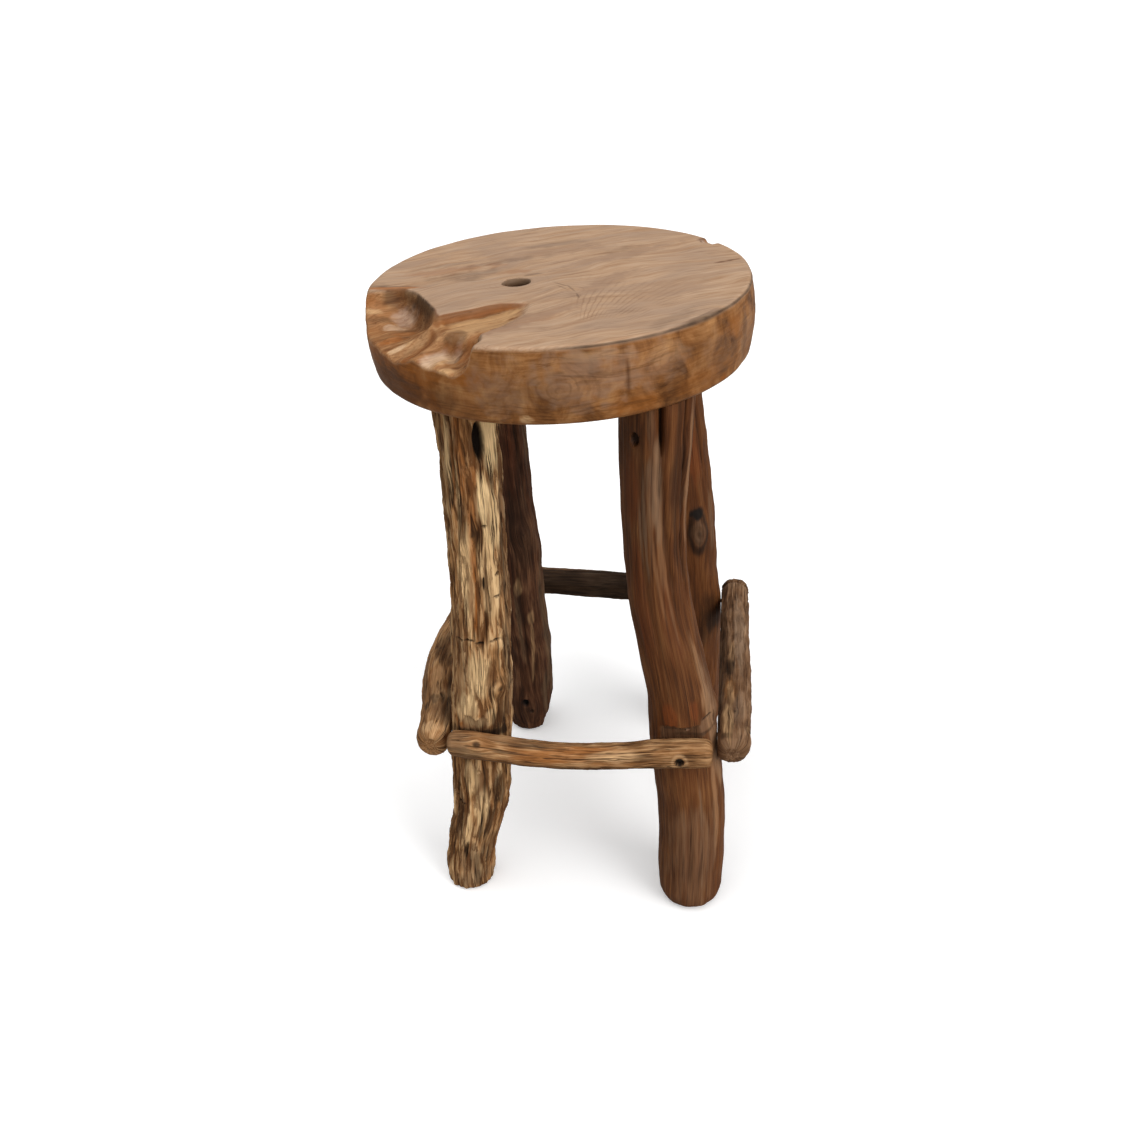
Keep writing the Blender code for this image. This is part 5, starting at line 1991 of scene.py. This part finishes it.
def rear_left_leg() -> Leg:
    """The dark leg with a swelling half way up.

    Returns:
        The leg, not yet built.
    """
    return Leg(
        node="leg_rear_left", finish=DARK_HEARTWOOD, slot="dark_heartwood",
        seed=37, sides=160, spacing=0.0014, twist=0.9,
        roughness=Roughness((0.0011, 0.011, 0.090), (0.0005, 0.004, 0.035), (0.0003, 0.012, 0.03), (0.0012, 0.028)),
        patches=(
            *Patch.rows(
                Mark.PALE,
                (282, 0.243, 0.0055, 0.015, 0.95), (303, 0.196, 0.005, 0.013, 0.8),
                (298, 0.15, 0.0022, 0.06, 0.75, 14),
            ),
            *Patch.rows(
                Mark.GREY,
                (345, 0.16, 0.01, 0.12, 0.6), (350, 0.445, 0.006, 0.04, 0.6), (8, 0.21, 0.008, 0.04, 0.6),
                (276, 0.18, 0.003, 0.06, 0.6), (322, 0.06, 0.008, 0.04, 0.6),
            ),
            *Patch.rows(Mark.WARM, (300, 0.43, 0.008, 0.07, 0.5)),
            *Patch.rows(Mark.DARK, (300, 0.33, 0.022, 0.09, 0.45)),
        ),
        knots=(
            Knot(306, 0.32, 0.011, 0.016, 0.002, 2.5, 0.6), Knot(278, 0.045, 0.013, 0.02, 0.0024, 1.5, 0.4),
            Knot(120, 0.38, 0.01, 0.014, 0.002, 2.5, 0.6),
        ),
        clefts=(
            Cleft(((315, 0.56), (318, 0.44), (330, 0.33)), 0.004, 0.0026, 0.5),
            Cleft(((280, 0.29), (286, 0.18), (280, 0.09)), 0.0035, 0.0024, 0.5),
            Cleft(((60, 0.54), (66, 0.3)), 0.004, 0.0026, 0.4),
        ),
        pits=(
            Pit(272, 0.055, 0.0048, 0.0075, 0.007), Pit(284, 0.04, 0.003, 0.004, 0.003, 0.7),
            Pit(8, -0.006, 0.036, 0.052, 0.009, 0.0),
        ),
    )


def rear_right_leg() -> Leg:
    """The reddish leg with a large oval knot.

    Returns:
        The leg, not yet built.
    """
    return Leg(
        node="leg_rear_right", finish=RED_HEARTWOOD, slot="red_heartwood",
        seed=41, sides=160, spacing=0.0014, twist=-0.6,
        roughness=Roughness((0.0008, 0.013, 0.120), (0.0004, 0.005, 0.045), (0.0002, 0.012, 0.03), (0.0010, 0.030)),
        patches=(
            *Patch.rows(Mark.GREY, (297, 0.322, 0.009, 0.022, 0.55), (334, 0.33, 0.006, 0.04, 0.5)),
            *Patch.rows(
                Mark.DARK,
                (296, 0.326, 0.012, 0.03, 0.35), (296, 0.351, 0.011, 0.009, 0.98), (317, 0.205, 0.016, 0.034, 0.55),
                (290, 0.17, 0.01, 0.02, 0.4),
            ),
            *Patch.rows(Mark.WARM, (300, 0.43, 0.01, 0.05, 0.5)),
        ),
        knots=(
            Knot(296, 0.326, 0.0125, 0.032, 0.0034, 2.6, 0.6, 0.8), Knot(70, 0.45, 0.009, 0.013, 0.002, 2.5, 0.6),
        ),
        clefts=(
            Cleft(((318, 0.56), (322, 0.45), (326, 0.38)), 0.004, 0.0026, 0.5),
            Cleft(((50, 0.54), (58, 0.3)), 0.0045, 0.003, 0.4), Cleft(((130, 0.4), (126, 0.2)), 0.004, 0.0026, 0.4),
        ),
    )


def front_rail() -> Rail:
    """The thin golden rail.

    Returns:
        The rail, not yet built.
    """
    return Rail(
        node="rail_front", finish=GOLDEN_BRANCH, slot="golden_branch", seed=53, sides=120, spacing=0.00085, twist=1.2,
        screws=("screw_front_at_front_right",),
        roughness=Roughness((0.0006, 0.006, 0.045), (0.0003, 0.0025, 0.018), (0.0003, 0.008, 0.02), (0.0007, 0.018)),
        patches=(
            *Patch.rows(Mark.PALE, (40, -0.058, 0.008, 0.03, 0.6)),
            *Patch.rows(Mark.WARM, (30, 0.01, 0.008, 0.04, 0.5), (60, -0.03, 0.006, 0.05, 0.5)),
            *Patch.rows(Mark.GREY, (80, 0.04, 0.006, 0.04, 0.5), (60, 0.108, 0.012, 0.026, 0.6)),
            *Patch.rows(
                Mark.DARK,
                (20, -0.088, 0.006, 0.012, 0.3), (322, 0.02, 0.006, 0.18, 0.55), (14, 0.095, 0.004, 0.026, 0.45),
                (70, 0.02, 0.0016, 0.04, 0.5), (30, 0.045, 0.0014, 0.03, 0.55), (50, -0.04, 0.0014, 0.036, 0.5),
                (47, 0.0826, 0.0046, 0.0062, 0.8), (352, 0.092, 0.005, 0.03, 0.6),
            ),
        ),
        knots=(Knot(47, 0.0826, 0.0075, 0.0090, 0.0012, 1.5, 0.95), Knot(70, -0.012, 0.004, 0.006, 0.0006, 1.5, 0.4)),
        clefts=(
            Cleft(((40, 0.1), (38, 0.07), (34, 0.03)), 0.0013, 0.001, 0.8),
            Cleft(((64, 0.055), (60, 0.02), (62, -0.02)), 0.0011, 0.001, 0.8),
            Cleft(((22, 0.02), (26, -0.02), (30, -0.07)), 0.0013, 0.001, 0.8),
            Cleft(((54, -0.045), (50, -0.08), (52, -0.105)), 0.0011, 0.001, 0.8),
        ),
        pits=(Pit(336, -0.1125, 0.0020, 0.0028, 0.0015, 0.7),),
    )


def left_rail() -> Rail:
    """The golden rail that bows outwards.

    Returns:
        The rail, not yet built.
    """
    return Rail(
        node="rail_left", finish=GOLDEN_BRANCH, slot="golden_branch", seed=59, sides=120, spacing=0.00090, twist=-1.0,
        screws=("screw_left_at_front_left", "screw_left_at_rear_left"),
        roughness=Roughness((0.0008, 0.007, 0.050), (0.0004, 0.003, 0.02), (0.0004, 0.009, 0.02), (0.0010, 0.022)),
        patches=(
            *Patch.rows(Mark.WARM, (105, -0.078, 0.01, 0.028, 0.25), (88, -0.07, 0.01, 0.022, 0.3)),
            *Patch.rows(
                Mark.PALE,
                (100, -0.095, 0.008, 0.03, 0.4), (97, -0.074, 0.009, 0.026, 0.38), (140, -0.12, 0.004, 0.05, 0.6),
                (90, -0.152, 0.012, 0.008, 0.6),
            ),
            *Patch.rows(
                Mark.DARK,
                (112, -0.014, 0.017, 0.036, 0.55), (142, -0.122, 0.01, 0.03, 0.62), (152, -0.08, 0.009, 0.04, 0.45),
                (46, -0.075, 0.006, 0.05, 0.45), (96, -0.108, 0.012, 0.009, 0.45), (60, -0.117, 0.004, 0.008, 0.65),
            ),
            *Patch.rows(Mark.GREY, (100, -0.125, 0.008, 0.022, 0.5)),
        ),
        knots=(Knot(100, -0.106, 0.005, 0.006, 0.0010, 1.5, 0.8), Knot(80, 0.060, 0.006, 0.008, 0.0010, 1.5, 0.6)),
        pits=(Pit(112, -0.100, 0.0026, 0.005, 0.0016, 0.55),),
    )


def rear_rail() -> Rail:
    """The dark rail behind the rear legs.

    Returns:
        The rail, not yet built.
    """
    return Rail(
        node="rail_rear", finish=GREY_BRANCH, slot="grey_branch", seed=61, sides=112, spacing=0.00095, twist=0.8,
        screws=("screw_rear_at_rear_left", "screw_rear_at_rear_right"),
        roughness=Roughness((0.0009, 0.008, 0.055), (0.0004, 0.003, 0.022), (0.0004, 0.009, 0.02), (0.0010, 0.022)),
        patches=(
            *Patch.rows(
                Mark.DARK,
                (110, 0.0, 0.016, 0.22, 0.8), (150, 0.0, 0.014, 0.22, 0.85), (182, 0.0, 0.018, 0.22, 0.85),
            ),
        ),
        knots=(Knot(60, 0.030, 0.007, 0.009, 0.0012, 2.0, 0.6),),
    )


def right_rail() -> Rail:
    """The brown rail with rounded ends.

    Returns:
        The rail, not yet built.
    """
    return Rail(
        node="rail_right", finish=GREY_BRANCH, slot="grey_branch", seed=67, sides=120, spacing=0.00090, twist=-0.8,
        screws=("screw_right_at_rear_right", "screw_right_at_front_right"),
        roughness=Roughness((0.0008, 0.007, 0.055), (0.0004, 0.003, 0.02), (0.0005, 0.009, 0.018), (0.0010, 0.022)),
        patches=(
            *Patch.rows(
                Mark.DARK,
                (105, 0.036, 0.008, 0.014, 0.6), (140, -0.015, 0.008, 0.07, 0.45), (120, 0.152, 0.006, 0.006, 0.5),
            ),
            *Patch.rows(Mark.WARM, (108, 0.08, 0.01, 0.022, 0.6)),
            *Patch.rows(Mark.GREY, (70, -0.03, 0.008, 0.08, 0.6), (72, 0.11, 0.007, 0.03, 0.5)),
            *Patch.rows(
                Mark.PALE,
                (112, 0.128, 0.007, 0.034, 0.8), (104, 0.085, 0.005, 0.022, 0.6), (100, 0.01, 0.004, 0.03, 0.35),
            ),
        ),
        knots=(Knot(85, 0.117, 0.005, 0.006, 0.0010, 1.5, 0.6), Knot(60, -0.060, 0.006, 0.008, 0.0010, 1.5, 0.5)),
    )


@dataclass
class Fasteners:
    """The dowels and screws, which keep their CAD shape."""

    dowels: tuple[str, ...]
    screws: tuple[str, ...]

    def dress(self) -> None:
        """Gives each fastener its material."""
        for names, finish in ((self.dowels, DOWEL_WOOD), (self.screws, DARK_STEEL)):
            material = finish.material()
            for name in names:
                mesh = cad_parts[name].data
                mesh.materials.clear()
                mesh.materials.append(material)
                log.info("%s: %s", name, finish.name)


def main() -> None:
    """Builds the stool piece by piece."""
    Studio().set_up()
    dowels = tuple(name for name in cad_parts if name.startswith("dowel_"))
    screws = tuple(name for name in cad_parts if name.startswith("screw_"))
    rails = [front_rail(), left_rail(), rear_rail(), right_rail()]
    legs = [front_left_leg(), front_right_leg(), rear_left_leg(), rear_right_leg()]
    for leg in legs:
        leg.let_in(rails)
        leg.build()
    for rail in rails:
        rail.build()
    Seat(dowels).build()
    Fasteners(dowels, screws).dress()


if __name__ == "__main__":
    logging.basicConfig(level=logging.INFO, format="%(message)s")
    main()
